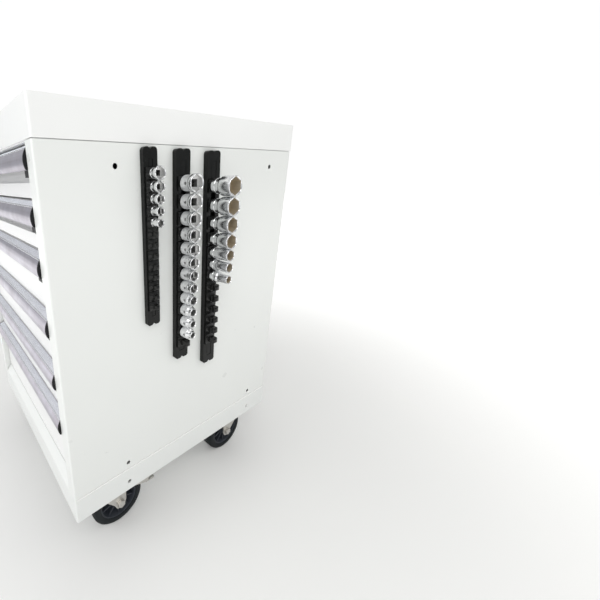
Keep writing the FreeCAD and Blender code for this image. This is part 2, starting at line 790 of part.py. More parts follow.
def drawer_handle(number):
    """Extruded aluminium pull: sloped top, bowed face, turned-in lip, rear web."""
    name = "drawer_%d_handle" % number
    top = drawer_top(number)
    wall = S.handle_wall
    outline = handle_face(top) + [
        (FRONT + 0.8, top - S.handle_height + wall),
        (FRONT - 2.2 + wall, top - S.handle_height + wall, S.handle_curve - wall, "right"),
        (FRONT - 0.6 + wall, top - S.nose_drop - 1 - wall / 2),
        (PANEL_FACE - wall, top - S.drawer_gap / 2 - wall * 1.6),
        (PANEL_FACE - wall, top - S.scoop_top),
        (PANEL_FACE, top - S.scoop_top),
    ]
    handle = Profiled(name)
    length = 2 * (PANEL_HALF - S.cap_plate)
    handle.pad(handle.sketch("side", [outline]), length, both_ways=True)
    return node(handle.body, name)


def drawer_caps(number):
    """Black end caps: a cheek shaped as the handle's section and a block under its lip."""
    name = "drawer_%d_handle_caps" % number
    top = drawer_top(number)
    caps = []
    for side, word in ((1, "right"), (-1, "left")):
        cap = Profiled("cap_%d_%s" % (number, word))
        foot = top - S.cap_foot
        scoop_rear = PANEL_FACE + S.scoop_depth
        under_web = top - S.scoop_top - 1
        outline = handle_face(top) + [
            (FRONT + 2, foot), (scoop_rear, foot),
            (scoop_rear, under_web), (PANEL_FACE, under_web),
        ]
        cheek = cap.sketch("side", [outline], side * (PANEL_HALF - S.cap_plate))
        cap.pad(cheek, S.cap_plate, reverse=side < 0)
        inner = rectangle((FRONT + 2, scoop_rear), (foot, under_web - S.handle_wall))
        plug = cap.sketch("side", [inner], side * (PANEL_HALF - S.cap_length))
        cap.pad(plug, S.cap_length - S.cap_plate / 2, reverse=side < 0)
        caps.append(cap.body)
    return node(group(name, *caps), name)


# ---------------------------------------------------------------- castors

CASTORS = [("front_right", 1, 1), ("front_left", -1, 1), ("rear_right", 1, -1), ("rear_left", -1, -1)]


def castor_axis(side, trail_sign):
    """Swivel axis of one castor. The front ones trail back and the rear ones forward."""
    x = side * (HALF_WIDTH - S.castor_inset)
    y = FRONT + S.castor_from_end if trail_sign > 0 else BACK - S.castor_from_end
    return x, y


def castor_plates():
    """Four top plates, each with the bore of its swivel pin."""
    plates = []
    bottom = S.castor_height - S.plate_thickness
    for word, side, sign in CASTORS:
        x, y = castor_axis(side, sign)
        half_x, half_y = S.plate_width / 2, S.plate_length / 2
        plate = block("plate_" + word, (x - half_x, x + half_x), (y - half_y, y + half_y), (bottom, S.castor_height))
        bore = rod("bore_" + word, S.kingpin_radius + S.turning_gap, S.plate_thickness + 2, x, y, bottom - 1)
        plates.append(minus("castor_plate_" + word, plate, bore))
    return node(group("castor_plates", *plates), "castor_plates")


def castor_fork(word, side, sign):
    """Swivel head, two tapered legs, king pin, axle and nuts."""
    x, y = castor_axis(side, sign)
    axle_y = y + sign * S.castor_trail
    crown_top = S.castor_height - S.plate_thickness - S.running_gap
    bridge_top = crown_top - S.crown_height
    half_gap = S.wheel_width / 2 + S.fork_steel
    steel = S.fork_steel
    pieces = [many_sided("crown_" + word, 24, S.crown_radius, S.crown_height + 1, x, y, bridge_top - 1)]
    pieces.append(rod("kingpin_" + word, S.kingpin_radius, S.plate_thickness + S.running_gap + 2, x, y,
                      crown_top - 2.5))
    pieces.append(block("bridge_" + word, (x - half_gap, x + half_gap), (y - 20, y + 20),
                        (bridge_top - 3, bridge_top)))
    tip = S.fork_tip
    low = S.wheel_radius
    for direction, hand in ((1, "out"), (-1, "in")):
        leg = Profiled("leg_%s_%s" % (word, hand))
        corners = [
            (y - sign * 22, bridge_top), (y - sign * 20, bridge_top - 19),
            (axle_y - sign * tip, low + 1), (axle_y - sign * tip * 0.6, low - tip * 0.8),
            (axle_y, low - tip), (axle_y + sign * tip * 0.6, low - tip * 0.8), (axle_y + sign * tip, low + 1),
            (axle_y + sign * tip, low + 44), (y + sign * 27, bridge_top),
        ]
        plane = leg.sketch("side", [corners], x + direction * half_gap)
        leg.pad(plane, steel, reverse=direction < 0)
        pieces.append(leg.body)
        outside = x + direction * (half_gap + steel)
        turn = Rotation(Vector(0, 1, 0), 90 * direction)
        pieces.append(hexagon("nut_%s_%s" % (word, hand), S.axle_nut, 4.5, outside, axle_y, low, turn))
        if sign > 0:
            pin = rod("pedal_pin_%s_%s" % (word, hand), S.pedal_pin, 6.5, outside, y + S.pedal_pivot, low + 44, turn)
            pieces.append(pin)
    axle_length = 2 * (half_gap + steel)
    pieces.append(rod("axle_" + word, S.axle_radius, axle_length, x - half_gap - steel, axle_y, low, ALONG_X))
    name = "castor_%s_fork" % word
    return node(fused(name, *pieces), name)


def castor_wheel(word, side, sign):
    """Tyre with bevelled shoulders on a wide hub, bored for the axle."""
    name = "castor_%s_wheel" % word
    x, y = castor_axis(side, sign)
    axle_y = y + sign * S.castor_trail
    half = S.wheel_width / 2
    radius = S.wheel_radius
    tyre = bevelled_prism("tyre_" + word, 48, radius, S.wheel_width, ("low", "high"), S.tyre_shoulder,
                          S.tyre_shoulder)
    put(tyre, x - half, axle_y, radius, ALONG_X)
    reach = half + S.fork_steel - S.running_gap
    hub = many_sided("hub_" + word, 12, S.hub_radius, 2 * reach, x - reach, axle_y, radius, ALONG_X)
    bore = rod("wheel_bore_" + word, S.axle_radius + S.turning_gap, 2 * reach + 2, x - reach - 1, axle_y, radius,
               ALONG_X)
    return node(minus(name, fused("wheel_blank_" + word, tyre, hub), bore), name)


def castor_pedal(word, side, sign):
    """Brake pedal: two arms on the fork's stub pins and a tread plate behind the wheel."""
    x, y = castor_axis(side, sign)
    pivot_y, pivot_z = y + S.pedal_pivot, S.wheel_radius + 44
    arm_start = S.wheel_width / 2 + 2 * S.fork_steel + 2
    pieces = []
    for direction, hand in ((1, "out"), (-1, "in")):
        arm = Profiled("arm_%s_%s" % (word, hand))
        corners = [
            (pivot_y - 5, pivot_z + 3), (pivot_y + 3, pivot_z + 5), (pivot_y + 66, pivot_z - 21),
            (pivot_y + 62, pivot_z - 30), (pivot_y - 3, pivot_z - 5),
        ]
        plane = arm.sketch("side", [corners], x + direction * arm_start)
        arm.pad(plane, S.fork_steel, reverse=direction < 0)
        pieces.append(arm.body)
    reach = arm_start + S.fork_steel
    pieces.append(block("tread_" + word, (x - reach, x + reach), (pivot_y + 60, pivot_y + 78),
                        (pivot_z - 30, pivot_z - 27)))
    bore = rod("pedal_bore_" + word, S.pedal_pin + S.turning_gap, 2 * reach + 4, x - reach - 2, pivot_y, pivot_z,
               ALONG_X)
    name = "castor_%s_pedal" % word
    return node(minus(name, fused("pedal_blank_" + word, *pieces), bore), name)


# ---------------------------------------------------------------- push handle and lock


def push_handle():
    """Tube held by two brackets that bolt through the left panel's upper holes."""
    bar_x = -HALF_WIDTH - S.push_bar_reach + S.push_bar_radius
    first = FRONT + S.hole_front
    pieces = [rod("push_bar", S.push_bar_radius, S.hole_pitch_deep + 2 * S.push_bar_overhang,
                  bar_x, first - S.push_bar_overhang, PUSH_HOLES, ALONG_Y)]
    for word, y in (("front", first), ("rear", first + S.hole_pitch_deep)):
        arm = Profiled("push_arm_" + word)
        half, foot = S.push_arm_width / 2, S.push_arm_width
        corners = [
            (-HALF_WIDTH, y - foot), (-HALF_WIDTH, y + foot), (-HALF_WIDTH - 4, y + foot),
            (-HALF_WIDTH - 8, y + half), (bar_x, y + half), (bar_x, y - half),
            (-HALF_WIDTH - 8, y - half), (-HALF_WIDTH - 4, y - foot),
        ]
        flat = arm.sketch("top", [corners], PUSH_HOLES)
        arm.pad(flat, S.push_arm_width, both_ways=True)
        pieces.append(arm.body)
        pieces.append(rod("push_bolt_" + word, HOLE_RADIUS - S.running_gap, 14, -HALF_WIDTH - 4, y,
                          PUSH_HOLES, ALONG_X))
    return node(fused("push_handle", *pieces), "push_handle")


def lock_plug():
    """Keyed plug in the lid's front wall, with a slot and the cam behind it."""
    z = SEAM + S.lid_height / 2
    x = -S.lock_offset
    plug = rod("lock_barrel", S.lock_radius, 22, x, FRONT - 2, z, ALONG_Y)
    cam = block("lock_cam", (x - 4, x + 4), (FRONT + 14, FRONT + 16), (z - 17, z + 9))
    slot = block("key_slot", (x - 0.8, x + 0.8), (FRONT - 3, FRONT + 4), (z - 4, z + 4))
    return node(minus("lock_plug", fused("lock_blank", plug, cam), slot), "lock_plug")


# ---------------------------------------------------------------- socket rails


class Rail:
    """One magnetic rail. Its sizes are the sheet's, by their last words."""

    def __init__(self, word, socket_count):
        self.word = word
        self.flats = [getattr(S, "%s_socket_%d" % (word, index + 1)) for index in range(socket_count)]

    def __getattr__(self, name):
        return getattr(S, "%s_rail_%s" % (self.word, name))

    def socket_length(self, index):
        """Sockets shorten evenly from the top of the rail to the lowest one."""
        return self.longest - (self.longest - self.shortest) * index / (len(self.flats) - 1)


def mouth_diameter(flats):
    """Outside of a socket's nut end."""
    return 1.2 * flats + 1.3


def clip_places(rail):
    """Distance of each clip below the rail's top. Clips close up until clips or sockets meet."""
    places = [rail.first]
    widths = [larger(mouth_diameter(flats), rail.collar) for flats in rail.flats]
    for index in range(CLIPS_PER_RAIL - 1):
        step = rail.clip + S.clip_gap
        if index + 1 < len(widths):
            step = larger(step, (widths[index] + widths[index + 1]) / 2 + S.socket_gap)
        places.append(places[-1] + step)
    return places


def seat_of(rail):
    """How far a socket's rear face stands from the cabinet."""
    return rail.thickness + S.clip_plate + S.clip_shoulder + S.running_gap


def place_on_side(thing, rail):
    """Hang a rail's node on the cabinet's side: X outward, origin at the rail's top middle."""
    spot = Vector(HALF_WIDTH.value, (FRONT + rail.from_front).value, (SEAM - rail.below_seam).value)
    thing.Placement = Placement(spot, Rotation(Vector(1, 0, 0), rail.lean.value))
    bind(thing, Placement__Base__x=HALF_WIDTH, Placement__Base__y=FRONT + rail.from_front,
         Placement__Base__z=SEAM - rail.below_seam, Placement__Rotation__Angle=rail.lean)
    return thing


def rail_track(rail):
    """Bar with shouldered, notched ends, a T slot for the clips, and magnets set in its back."""
    half = rail.width / 2
    neck = rail.stud / 2 + S.running_gap
    room = neck + S.clip_ear
    corner, notch, depth = S.rail_corner, S.rail_notch, S.rail_notch * 0.8
    foot = -rail.length
    outline = [
        (-half, foot + corner / 2), (-half + corner / 2, foot), (-notch, foot), (0, foot + depth),
        (notch, foot), (half - corner / 2, foot), (half, foot + corner / 2),
        (half, -corner, corner, "left"), (half - corner, 0), (notch, 0), (0, -depth), (-notch, 0),
        (-half + corner, 0, corner, "left"), (-half, -corner),
    ]
    bar = Profiled("bar_" + rail.word)
    bar.pad(bar.sketch("side", [outline]), rail.thickness)
    stop = S.rail_stop
    slot = bar.sketch("side", [rectangle((-neck, neck), (foot + stop, -stop))], rail.thickness)
    bar.pocket(slot, rail.thickness - S.slot_floor)
    ledge = S.slot_floor + S.slot_height
    tunnel = bar.sketch("top", [rectangle((S.slot_floor, ledge), (-room, room))], -stop)
    bar.pocket(tunnel, rail.length - 2 * stop)
    magnets = []
    half_wide, half_tall = S.magnet_width / 2, S.magnet_height / 2
    for index in range(3):
        z = -S.magnet_from_end - index * (rail.length - 2 * S.magnet_from_end) / 2
        recess = rectangle((-half_wide, half_wide), (z - half_tall, z + half_tall))
        bar.pocket(bar.sketch("side", [recess]), S.magnet_thickness, reverse=True)
        play = S.magnet_play
        magnets.append(block("magnet_%s_%d" % (rail.word, index), (0, S.magnet_thickness - play),
                             (play - half_wide, half_wide - play), (z - half_tall + play, z + half_tall - play)))
    name = "%s_rail" % rail.word
    return node(place_on_side(group(name, bar.body, *magnets), rail), name)


def wedge(name, start, height, base, top):
    """A square frustum along X, from half width base to half width top."""
    solid = doc.addObject("Part::Wedge", name)
    bind(solid, Xmin=-base, Xmax=base, Zmin=-base, Zmax=base, X2min=-top, X2max=top, Z2min=-top, Z2max=top,
         Ymin=0, Ymax=height)
    return put(solid, start, 0, 0, Rotation(Vector(0, 0, 1), -90))


def clip_shape(rail):
    """A clip: ears in the T slot, neck, plate, sloped shoulder and chamfered square stud."""
    face = rail.thickness
    half_length = rail.clip / 2
    half_width = rail.width / 2 - S.clip_inset
    stud = rail.stud / 2
    name = "clip_" + rail.word
    gap = S.running_gap
    lowest, highest = S.slot_floor + gap, S.slot_floor + S.slot_height - gap
    short = half_length - 1
    ears = block(name + "_ears", (lowest, highest), (gap - stud - S.clip_ear, stud + S.clip_ear - gap),
                 (-short, short))
    neck = block(name + "_neck", (highest, face), (-stud, stud), (-short, short))
    plate = block(name + "_plate", (face, face + S.clip_plate), (-half_width, half_width),
                  (-half_length, half_length))
    top = face + S.clip_plate
    shoulder = wedge(name + "_shoulder", top, S.clip_shoulder, half_length - S.clip_plate / 2, stud)
    top = top + S.clip_shoulder
    rise = rail.stud * S.stud_rise
    peg = block(name + "_peg", (top, top + rise), (-stud, stud), (-stud, stud))
    tip = wedge(name + "_tip", top + rise, S.stud_chamfer, stud, stud - S.stud_chamfer)
    return fused(name, ears, neck, plate, shoulder, peg, tip)


def rail_clips(rail):
    """All the clips of one rail, as copies of its one clip, closed up under the sockets."""
    master = clip_shape(rail)
    doc.recompute()
    copies = [master.Shape.translated(Vector(0, 0, -place.value)) for place in clip_places(rail)]
    name = "%s_rail_clips" % rail.word
    clips = doc.addObject("Part::Feature", name)
    clips.Shape = Part.makeCompound(copies)
    return node(place_on_side(clips, rail), name)


def socket(rail, index, place):
    """One socket: drive collar, cone and nut end, its square drive running on into its nut mouth."""
    flats = rail.flats[index]
    length = rail.socket_length(index)
    name = "socket_%s_%d" % (rail.word, index + 1)
    start = seat_of(rail)
    collar = rail.collar / 2
    mouth = mouth_diameter(flats) / 2
    step = length * rail.collar_share
    cone = length * S.socket_cone
    flare = (mouth - collar) * math.cos(math.pi / SOCKET_SIDES)
    if flare.value > 0:
        back = many_sided(name + "_collar", SOCKET_SIDES, collar, step, 0, 0, 0)
        front = bevelled_prism(name + "_nose", SOCKET_SIDES, mouth, length - step, ("low",), cone,
                               larger(flare, LEAST_BEVEL))
        nut_depth = length - step - cone
    else:
        back = bevelled_prism(name + "_collar", SOCKET_SIDES, collar, step + cone, ("high",), cone,
                              larger(flare * -1, LEAST_BEVEL))
        front = many_sided(name + "_nose", SOCKET_SIDES, mouth, length - step, 0, 0, 0)
        nut_depth = length - step
    put(back, start, 0, -place, ALONG_X)
    put(front, start + step, 0, -place, ALONG_X)
    shell = fused(name + "_shell", back, front)
    drive = rail.stud / 2 + S.stud_play
    nut_start = start + length - nut_depth
    square = block(name + "_drive", (start - 1, nut_start + 0.1), (-drive, drive), (-drive - place, drive - place))
    nut = hexagon(name + "_nut", flats, nut_depth + 1, nut_start, 0, -place, ALONG_X)
    return minus(name, shell, square, nut)


def rail_sockets(rail):
    """The chrome sockets of one rail, each on its own stud."""
    places = clip_places(rail)
    name = "%s_rail_sockets" % rail.word
    sockets = [socket(rail, index, places[index]) for index in range(len(rail.flats))]
    return node(place_on_side(group(name, *sockets), rail), name)


RAILS = [Rail(word, len(flats)) for word, _, flats in RAIL_TABLE]


# ---------------------------------------------------------------- build and write


def check_and_write():
    """Stop on any failed object or wasted cut, then write one STEP file per node."""
    doc.recompute()
    failed = [thing.Name for thing in doc.Objects if "Invalid" in thing.State or "Error" in thing.State]
    if failed:
        raise RuntimeError("failed: " + ", ".join(failed))
    for kind, before, feature in volume_checks:
        old = before.Shape.Volume if before else 0.0
        change = feature.Shape.Volume - old
        wanted = change < -1e-3 if kind in ("Pocket", "Groove") else change > 1e-3
        if not wanted:
            raise RuntimeError("%s changed the volume by %.4f" % (feature.Name, change))
    os.makedirs("parts", exist_ok=True)
    for part in nodes:
        shape = part.Shape
        if shape.isNull() or not shape.isValid() or not shape.Solids:
            raise RuntimeError(part.Label + " is not a valid solid")
        shape.exportStep(os.path.join("parts", part.Label + ".step"))
        print("%-28s %3d solid(s) %12.1f mm3" % (part.Label, len(shape.Solids), shape.Volume))
    print(len(nodes), "nodes")


def main():
    side_panel("right_side_panel", 1)
    side_panel("left_side_panel", -1)
    back_panel()
    lid()
    base_frame()
    slide_uprights()
    slide_members()
    for number in range(1, DRAWER_COUNT + 1):
        drawer_tray(number)
        drawer_handle(number)
        drawer_caps(number)
    castor_plates()
    for word, side, sign in CASTORS:
        castor_fork(word, side, sign)
        castor_wheel(word, side, sign)
        if sign > 0:
            castor_pedal(word, side, sign)
    push_handle()
    lock_plug()
    for rail in RAILS:
        rail_track(rail)
        rail_clips(rail)
        rail_sockets(rail)
    check_and_write()


main()
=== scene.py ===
# %% [markdown]
# # A roller tool cabinet with magnetic socket rails
#
# This lesson dresses a steel drawer cabinet that was built in a CAD program. The
# cabinet's solids arrive as a fixed frame: each one is at its true size and place,
# and it moves with its own rigid body. What the lesson adds is what a CAD solid
# leaves out: turned and knurled sockets, rounded plastic, tyres, ribbed metal,
# and finishes that look like powder coat, chrome, rubber and moulding.
#
# The frame is loaded first, and its outline is kept.

# %% Load the frame
import bpy
import bmesh
import json
import math
from mathutils import Matrix, Vector


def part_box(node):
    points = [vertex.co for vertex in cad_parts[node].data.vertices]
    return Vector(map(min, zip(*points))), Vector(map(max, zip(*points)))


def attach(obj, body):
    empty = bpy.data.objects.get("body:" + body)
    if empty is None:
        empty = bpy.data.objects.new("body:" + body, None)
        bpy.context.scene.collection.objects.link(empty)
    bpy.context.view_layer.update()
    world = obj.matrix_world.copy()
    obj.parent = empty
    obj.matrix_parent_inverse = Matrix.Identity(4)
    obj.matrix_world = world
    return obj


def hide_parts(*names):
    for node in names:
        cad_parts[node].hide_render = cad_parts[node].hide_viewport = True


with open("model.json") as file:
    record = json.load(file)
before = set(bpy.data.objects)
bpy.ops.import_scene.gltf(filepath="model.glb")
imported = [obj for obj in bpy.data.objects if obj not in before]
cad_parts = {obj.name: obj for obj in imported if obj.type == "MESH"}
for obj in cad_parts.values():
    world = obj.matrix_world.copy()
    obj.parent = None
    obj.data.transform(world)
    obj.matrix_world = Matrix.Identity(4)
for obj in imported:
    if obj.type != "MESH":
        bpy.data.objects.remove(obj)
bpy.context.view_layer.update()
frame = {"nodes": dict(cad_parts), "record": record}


# %% [markdown]
# ## Sizes
#
# Blender works in metres and a maker of cabinets thinks in millimetres, so one
# function turns the second into the first. Sizes that the solids already hold are
# read from their boxes, which keeps this file true when a size is changed in CAD.
# Only what a box can't tell, such as the across-flats of a socket, is listed here.

# %% Sizes read from the frame
def mm(*values):
    """Millimetres to metres, for one number or for several."""
    scaled = tuple(value / 1000 for value in values)
    return scaled[0] if len(scaled) == 1 else scaled


side_low, side_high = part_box("right_side_panel")
PANEL_X = side_high[0]
POST_FACE = side_low[1]
SEAM = side_high[2]
print("side panel at x = %.3f, post face at y = %.3f" % (PANEL_X, POST_FACE))
print("lid seam at z = %.3f" % SEAM)


# %% [markdown]
# ## Shader sums written as Python
#
# A procedural finish is mostly arithmetic on noise. Wiring Math nodes by hand hides
# that arithmetic, so a socket is wrapped in a small class whose `+`, `-` and `*` each
# add one Math node. `1 - mask` needs the reflected forms, because there the number
# comes first. All other nodes of a finish come from one method, `Finish.node`.

# %% Nodes, and the socket wrapper
def feed(tree, socket, value):
    """Gives a socket a value, or a link from another node."""
    if isinstance(value, Amount):
        value = value.socket
    if isinstance(value, bpy.types.NodeSocket):
        tree.links.new(value, socket)
    else:
        socket.default_value = value


def add_node(tree, kind, settings, values):
    """Adds a node: its settings first, then a value or a link for each socket."""
    made = tree.nodes.new(kind)
    for key, value in (settings or {}).items():
        setattr(made, key, value)
    for key, value in (values or {}).items():
        feed(tree, made.inputs[key], value)
    return made


class Amount:
    """A value in a shader. Sums on it add Math nodes."""

    def __init__(self, finish, socket):
        self.finish = finish
        self.socket = socket

    def _with(self, operation, first, second):
        return self.finish.node("Math", {"operation": operation}, {0: first, 1: second})[0]

    def __add__(self, other):
        return self._with("ADD", self, other)

    def __radd__(self, other):
        return self._with("ADD", other, self)

    def __sub__(self, other):
        return self._with("SUBTRACT", self, other)

    def __rsub__(self, other):
        return self._with("SUBTRACT", other, self)

    def __mul__(self, other):
        return self._with("MULTIPLY", self, other)

    def __rmul__(self, other):
        return self._with("MULTIPLY", other, self)


# %% The finish: one material and its nodes
class Finish:
    """A material in the making: one surface shader, and the nodes that feed it."""

    def __init__(self, name, **constants):
        self.material = bpy.data.materials.new(name)
        self.material.use_nodes = True
        self.tree = self.material.node_tree
        self.tree.nodes.clear()
        self.surface = self.tree.nodes.new("ShaderNodeBsdfPrincipled")
        output = self.tree.nodes.new("ShaderNodeOutputMaterial")
        self.tree.links.new(self.surface.outputs["BSDF"], output.inputs["Surface"])
        for name, value in constants.items():
            socket = name.replace("_", " ").title().replace("Ior", "IOR")
            self.surface.inputs[socket].default_value = value
        self.place = self.node("TexCoord")["Object"]

    def node(self, kind, settings=None, values=None):
        """Adds a shader node and returns its outputs."""
        return Outputs(self, add_node(self.tree, "ShaderNode" + kind, settings, values))

    def set(self, **channels):
        """Feeds the surface shader's sockets."""
        for name, value in channels.items():
            feed(self.tree, self.surface.inputs[name.replace("_", " ").title()], value)

    def noise(self, scale, detail=2, stretch=None):
        """Noise from 0 to 1, with so many features per metre."""
        place = self.place
        if stretch:
            place = self.node("Mapping", values={"Vector": place, "Scale": stretch})["Vector"]
        pattern = {"Vector": place, "Scale": scale, "Detail": detail}
        return self.node("TexNoise", values=pattern)[0]

    def mix(self, factor, first, second):
        """A colour between two."""
        return self.node("Mix", {"data_type": "RGBA"}, {"Factor": factor, 6: first, 7: second})[2]

    def relief(self, height, depth):
        """Small relief of so many metres that doesn't change the mesh."""
        bump = self.node("Bump", values={"Height": height, "Distance": depth, "Strength": 1})
        self.set(normal=bump["Normal"])


class Outputs:
    """A node's outputs, by name or number, ready for sums."""

    def __init__(self, finish, node):
        self.finish = finish
        self.node = node

    def __getitem__(self, key):
        return Amount(self.finish, self.node.outputs[key])


# %% [markdown]
# ## Powder coat
#
# The cabinet's steel is powder coated: a thick, even, satin skin with a faint
# orange-peel ripple and almost no grain of its own. A flat white would look like
# paper. A broad, very weak noise breaks the colour, a middle one varies the gloss,
# and a fine one gives the ripple.

# %% White enamels
def powder_coat(name, colour, roughness):
    """An enamel: its colour fades by a few per cent, and its gloss is a little uneven."""
    finish = Finish(name, coat_weight=0.25, coat_roughness=0.18, specular_ior_level=0.5)
    broad = finish.noise(5, 3)
    shade = [channel * 0.955 for channel in colour[:3]] + [1]
    cloud = finish.noise(38, 4)
    finish.set(base_color=finish.mix(broad, colour, shade))
    finish.set(roughness=roughness + (cloud - 0.5) * 0.12)
    finish.relief(finish.noise(620, 2) + finish.noise(1500, 1) * 0.25, mm(0.02))
    return finish.material


body_enamel = powder_coat("white_enamel", (0.84, 0.855, 0.835, 1), 0.3)
base_enamel = powder_coat("grey_base_enamel", (0.83, 0.845, 0.83, 1), 0.33)
# Painted light: the lid's enamel is the same white coat as the body, made lighter because the lid
# stands nearer the light above.
lid_painted_light_enamel = powder_coat("lid_painted_light_enamel", (0.91, 0.915, 0.905, 1), 0.3)
drawer_enamel = powder_coat("drawer_enamel", (0.88, 0.88, 0.875, 1), 0.34)
# Painted highlight: the enamel of the skirt folds is the same white coat, made lighter so that
# the folds show as bright lines.
edge_painted_highlight_enamel = powder_coat("edge_painted_highlight_enamel", (0.97, 0.97, 0.96, 1), 0.3)
ENAMELS = (body_enamel, base_enamel, lid_painted_light_enamel, drawer_enamel, edge_painted_highlight_enamel)
print("enamels:", [enamel.name for enamel in ENAMELS])


# %% [markdown]
# ## Bare and plated metals
#
# Plated steel differs by how it was worked. Chrome on a socket keeps the fine turning
# lines left by the lathe, zinc plate is cloudy, and extruded aluminium has draw
# lines along its length. Each is a metal with a pattern stretched along the
# direction of the work: lines run round X on sockets, and along X on handles. Satin
# chrome and the broached holes scatter light as well, so they are less than fully
# metallic.

# %% Metals
def plated(name, colour, dark, roughness, spread, stretch, lines, depth, metallic=1):
    """A metal with working lines. They run along the directions with small stretches."""
    finish = Finish(name, metallic=metallic)
    grain = finish.noise(lines, 2, stretch)
    cloud = finish.noise(45, 3)
    finish.set(base_color=finish.mix(cloud * 0.6 + grain * 0.4, colour, dark))
    finish.set(roughness=roughness + (grain - 0.5) * spread + (cloud - 0.5) * spread)
    finish.relief(grain, depth)
    return finish.material


ROUND_X = (1, 0.06, 0.06)
THROUGH = (0.1, 1, 1)
DRAWN = (0.02, 1, 1)
chrome = plated("socket_chrome", (0.86, 0.865, 0.875, 1), (0.68, 0.69, 0.7, 1),
                0.24, 0.1, ROUND_X, 1400, mm(0.006))
satin_chrome = plated("satin_chrome", (0.95, 0.955, 0.96, 1), (0.8, 0.81, 0.82, 1),
                      0.5, 0.12, ROUND_X, 1400, mm(0.01), 0.75)
bore_steel = plated("socket_bore", (0.78, 0.71, 0.58, 1), (0.5, 0.43, 0.33, 1),
                    0.42, 0.2, THROUGH, 900, mm(0.02), 0.6)
broached_chrome = plated("broached_chrome", (0.78, 0.78, 0.77, 1), (0.45, 0.45, 0.45, 1),
                         0.3, 0.16, THROUGH, 900, mm(0.015), 0.85)
aluminium = plated("handle_aluminium", (0.76, 0.75, 0.84, 1), (0.3, 0.265, 0.29, 1),
                   0.34, 0.14, (0.004, 1, 1), 330, mm(0.012))
# Painted light: the rib and nose metals are lighter copies of the handle's aluminium, for the
# slope that faces up and for a highlight along the nose.
rib_painted_light_metal = plated("handle_ribs", (0.95, 0.965, 1, 1), (0.84, 0.87, 0.93, 1),
                   0.45, 0.1, DRAWN, 2600, mm(0.01), 0.6)
nose_painted_highlight_metal = plated("handle_nose", (0.93, 0.94, 0.96, 1), (0.8, 0.82, 0.85, 1),
                    0.16, 0.08, DRAWN, 2600, mm(0.006))
zinc = plated("zinc_steel", (0.62, 0.63, 0.65, 1), (0.46, 0.47, 0.49, 1),
              0.34, 0.16, (1, 0.1, 1), 300, mm(0.01))
castor_zinc = plated("castor_steel", (0.66, 0.64, 0.6, 1), (0.46, 0.45, 0.43, 1),
                     0.33, 0.2, (1, 1, 0.4), 240, mm(0.02))
lock_metal = plated("lock_chrome", (0.85, 0.86, 0.88, 1), (0.66, 0.67, 0.7, 1),
                    0.14, 0.1, (1, 0.1, 1), 1200, mm(0.004))
METALS = (chrome, satin_chrome, bore_steel, broached_chrome, aluminium, rib_painted_light_metal, nose_painted_highlight_metal,
          zinc, castor_zinc, lock_metal)
print("metals:", [metal.name for metal in METALS])


# %% [markdown]
# ## Mouldings and rubber
#
# The rails and clips are injection mouldings in a hard black plastic with some
# gloss. The caps and the push handle are duller, with a spark-eroded grain. Rubber
# is the dullest and picks up pale dust, more on tyres than on the mat in the lid.

# %% Blacks
def black_moulding(name, colour, roughness, grain_scale, grain_depth, dust=0.0, shine=0.22):
    """A black plastic, rubber or paint. Dust makes its worn places paler."""
    finish = Finish(name, specular_ior_level=shine)
    cloud = finish.noise(60, 4)
    worn = finish.noise(14, 5)
    pale = [channel + 0.02 + dust for channel in colour[:3]] + [1]
    finish.set(base_color=finish.mix(worn * cloud * (0.3 + dust * 4), colour, pale))
    finish.set(roughness=roughness + (cloud - 0.5) * 0.16)
    finish.relief(finish.noise(grain_scale, 2), grain_depth)
    return finish.material


rail_plastic = black_moulding("rail_black", (0.0055, 0.006, 0.0055, 1), 0.24, 700, mm(0.02))
clip_plastic = black_moulding("clip_black", (0.005, 0.0055, 0.005, 1), 0.2, 900, mm(0.02),
                              shine=0.34)
cap_plastic = black_moulding("cap_black", (0.007, 0.007, 0.009, 1), 0.42, 1600, mm(0.03))
handle_paint = black_moulding("handle_black", (0.022, 0.022, 0.024, 1), 0.36, 800, mm(0.02))
tyre_rubber = black_moulding("castor_rubber", (0.006, 0.009, 0.011, 1), 0.6, 900, mm(0.05),
                             0.006)
mat_rubber = black_moulding("rubber_mat", (0.02, 0.02, 0.021, 1), 0.7, 1800, mm(0.04), 0.02)
hub_plastic = black_moulding("hub_plastic", (0.035, 0.04, 0.05, 1), 0.38, 900, mm(0.03), 0.01)
BLACKS = (rail_plastic, clip_plastic, cap_plastic, handle_paint, tyre_rubber, mat_rubber,
          hub_plastic)
print("blacks:", [black.name for black in BLACKS])


# %% The finishes of the CAD nodes
FINISH_OF_SLOT = {
    "white_enamel": body_enamel, "grey_base_enamel": base_enamel, "drawer_enamel": drawer_enamel,
    "rubber_mat": mat_rubber, "zinc_steel": zinc, "lock_chrome": lock_metal,
    "handle_black": handle_paint, "handle_aluminium": aluminium, "cap_black": cap_plastic,
    "castor_steel": castor_zinc, "castor_rubber": tyre_rubber, "rail_black": rail_plastic,
    "clip_black": clip_plastic, "socket_chrome": chrome,
}
# The lid takes its lighter enamel, which is painted light.
FINISH_OF_NODE = {"top_lid": lid_painted_light_enamel}


def dress_nodes():
    """Gives each CAD node the finish of its slot in the record, or one of its own."""
    for entry in frame["record"]["subparts"]:
        finish = FINISH_OF_NODE.get(entry["node"], FINISH_OF_SLOT[entry["material_slot"]])
        for place in frame["nodes"][entry["node"]].material_slots:
            place.link = "OBJECT"
            place.material = finish
    return len(frame["record"]["subparts"])


print("CAD nodes dressed:", dress_nodes())


# %% [markdown]
# ## From numbers to meshes
#
# Three helpers end each piece. `placed` puts an object in the scene. `gathered` makes
# one mesh of many, each moved to its place. `finish_piece` merges double corners,
# turns every face outwards and rides the piece on its body. Edges sharper than a
# limit stay crisp while round surfaces are shaded smooth, which is how machined
# metal looks: curved where it was turned, hard where it was cut.

# %% Mesh helpers
def placed(name, data):
    """A new object in the scene."""
    made = bpy.data.objects.new(name, data)
    bpy.context.scene.collection.objects.link(made)
    return made


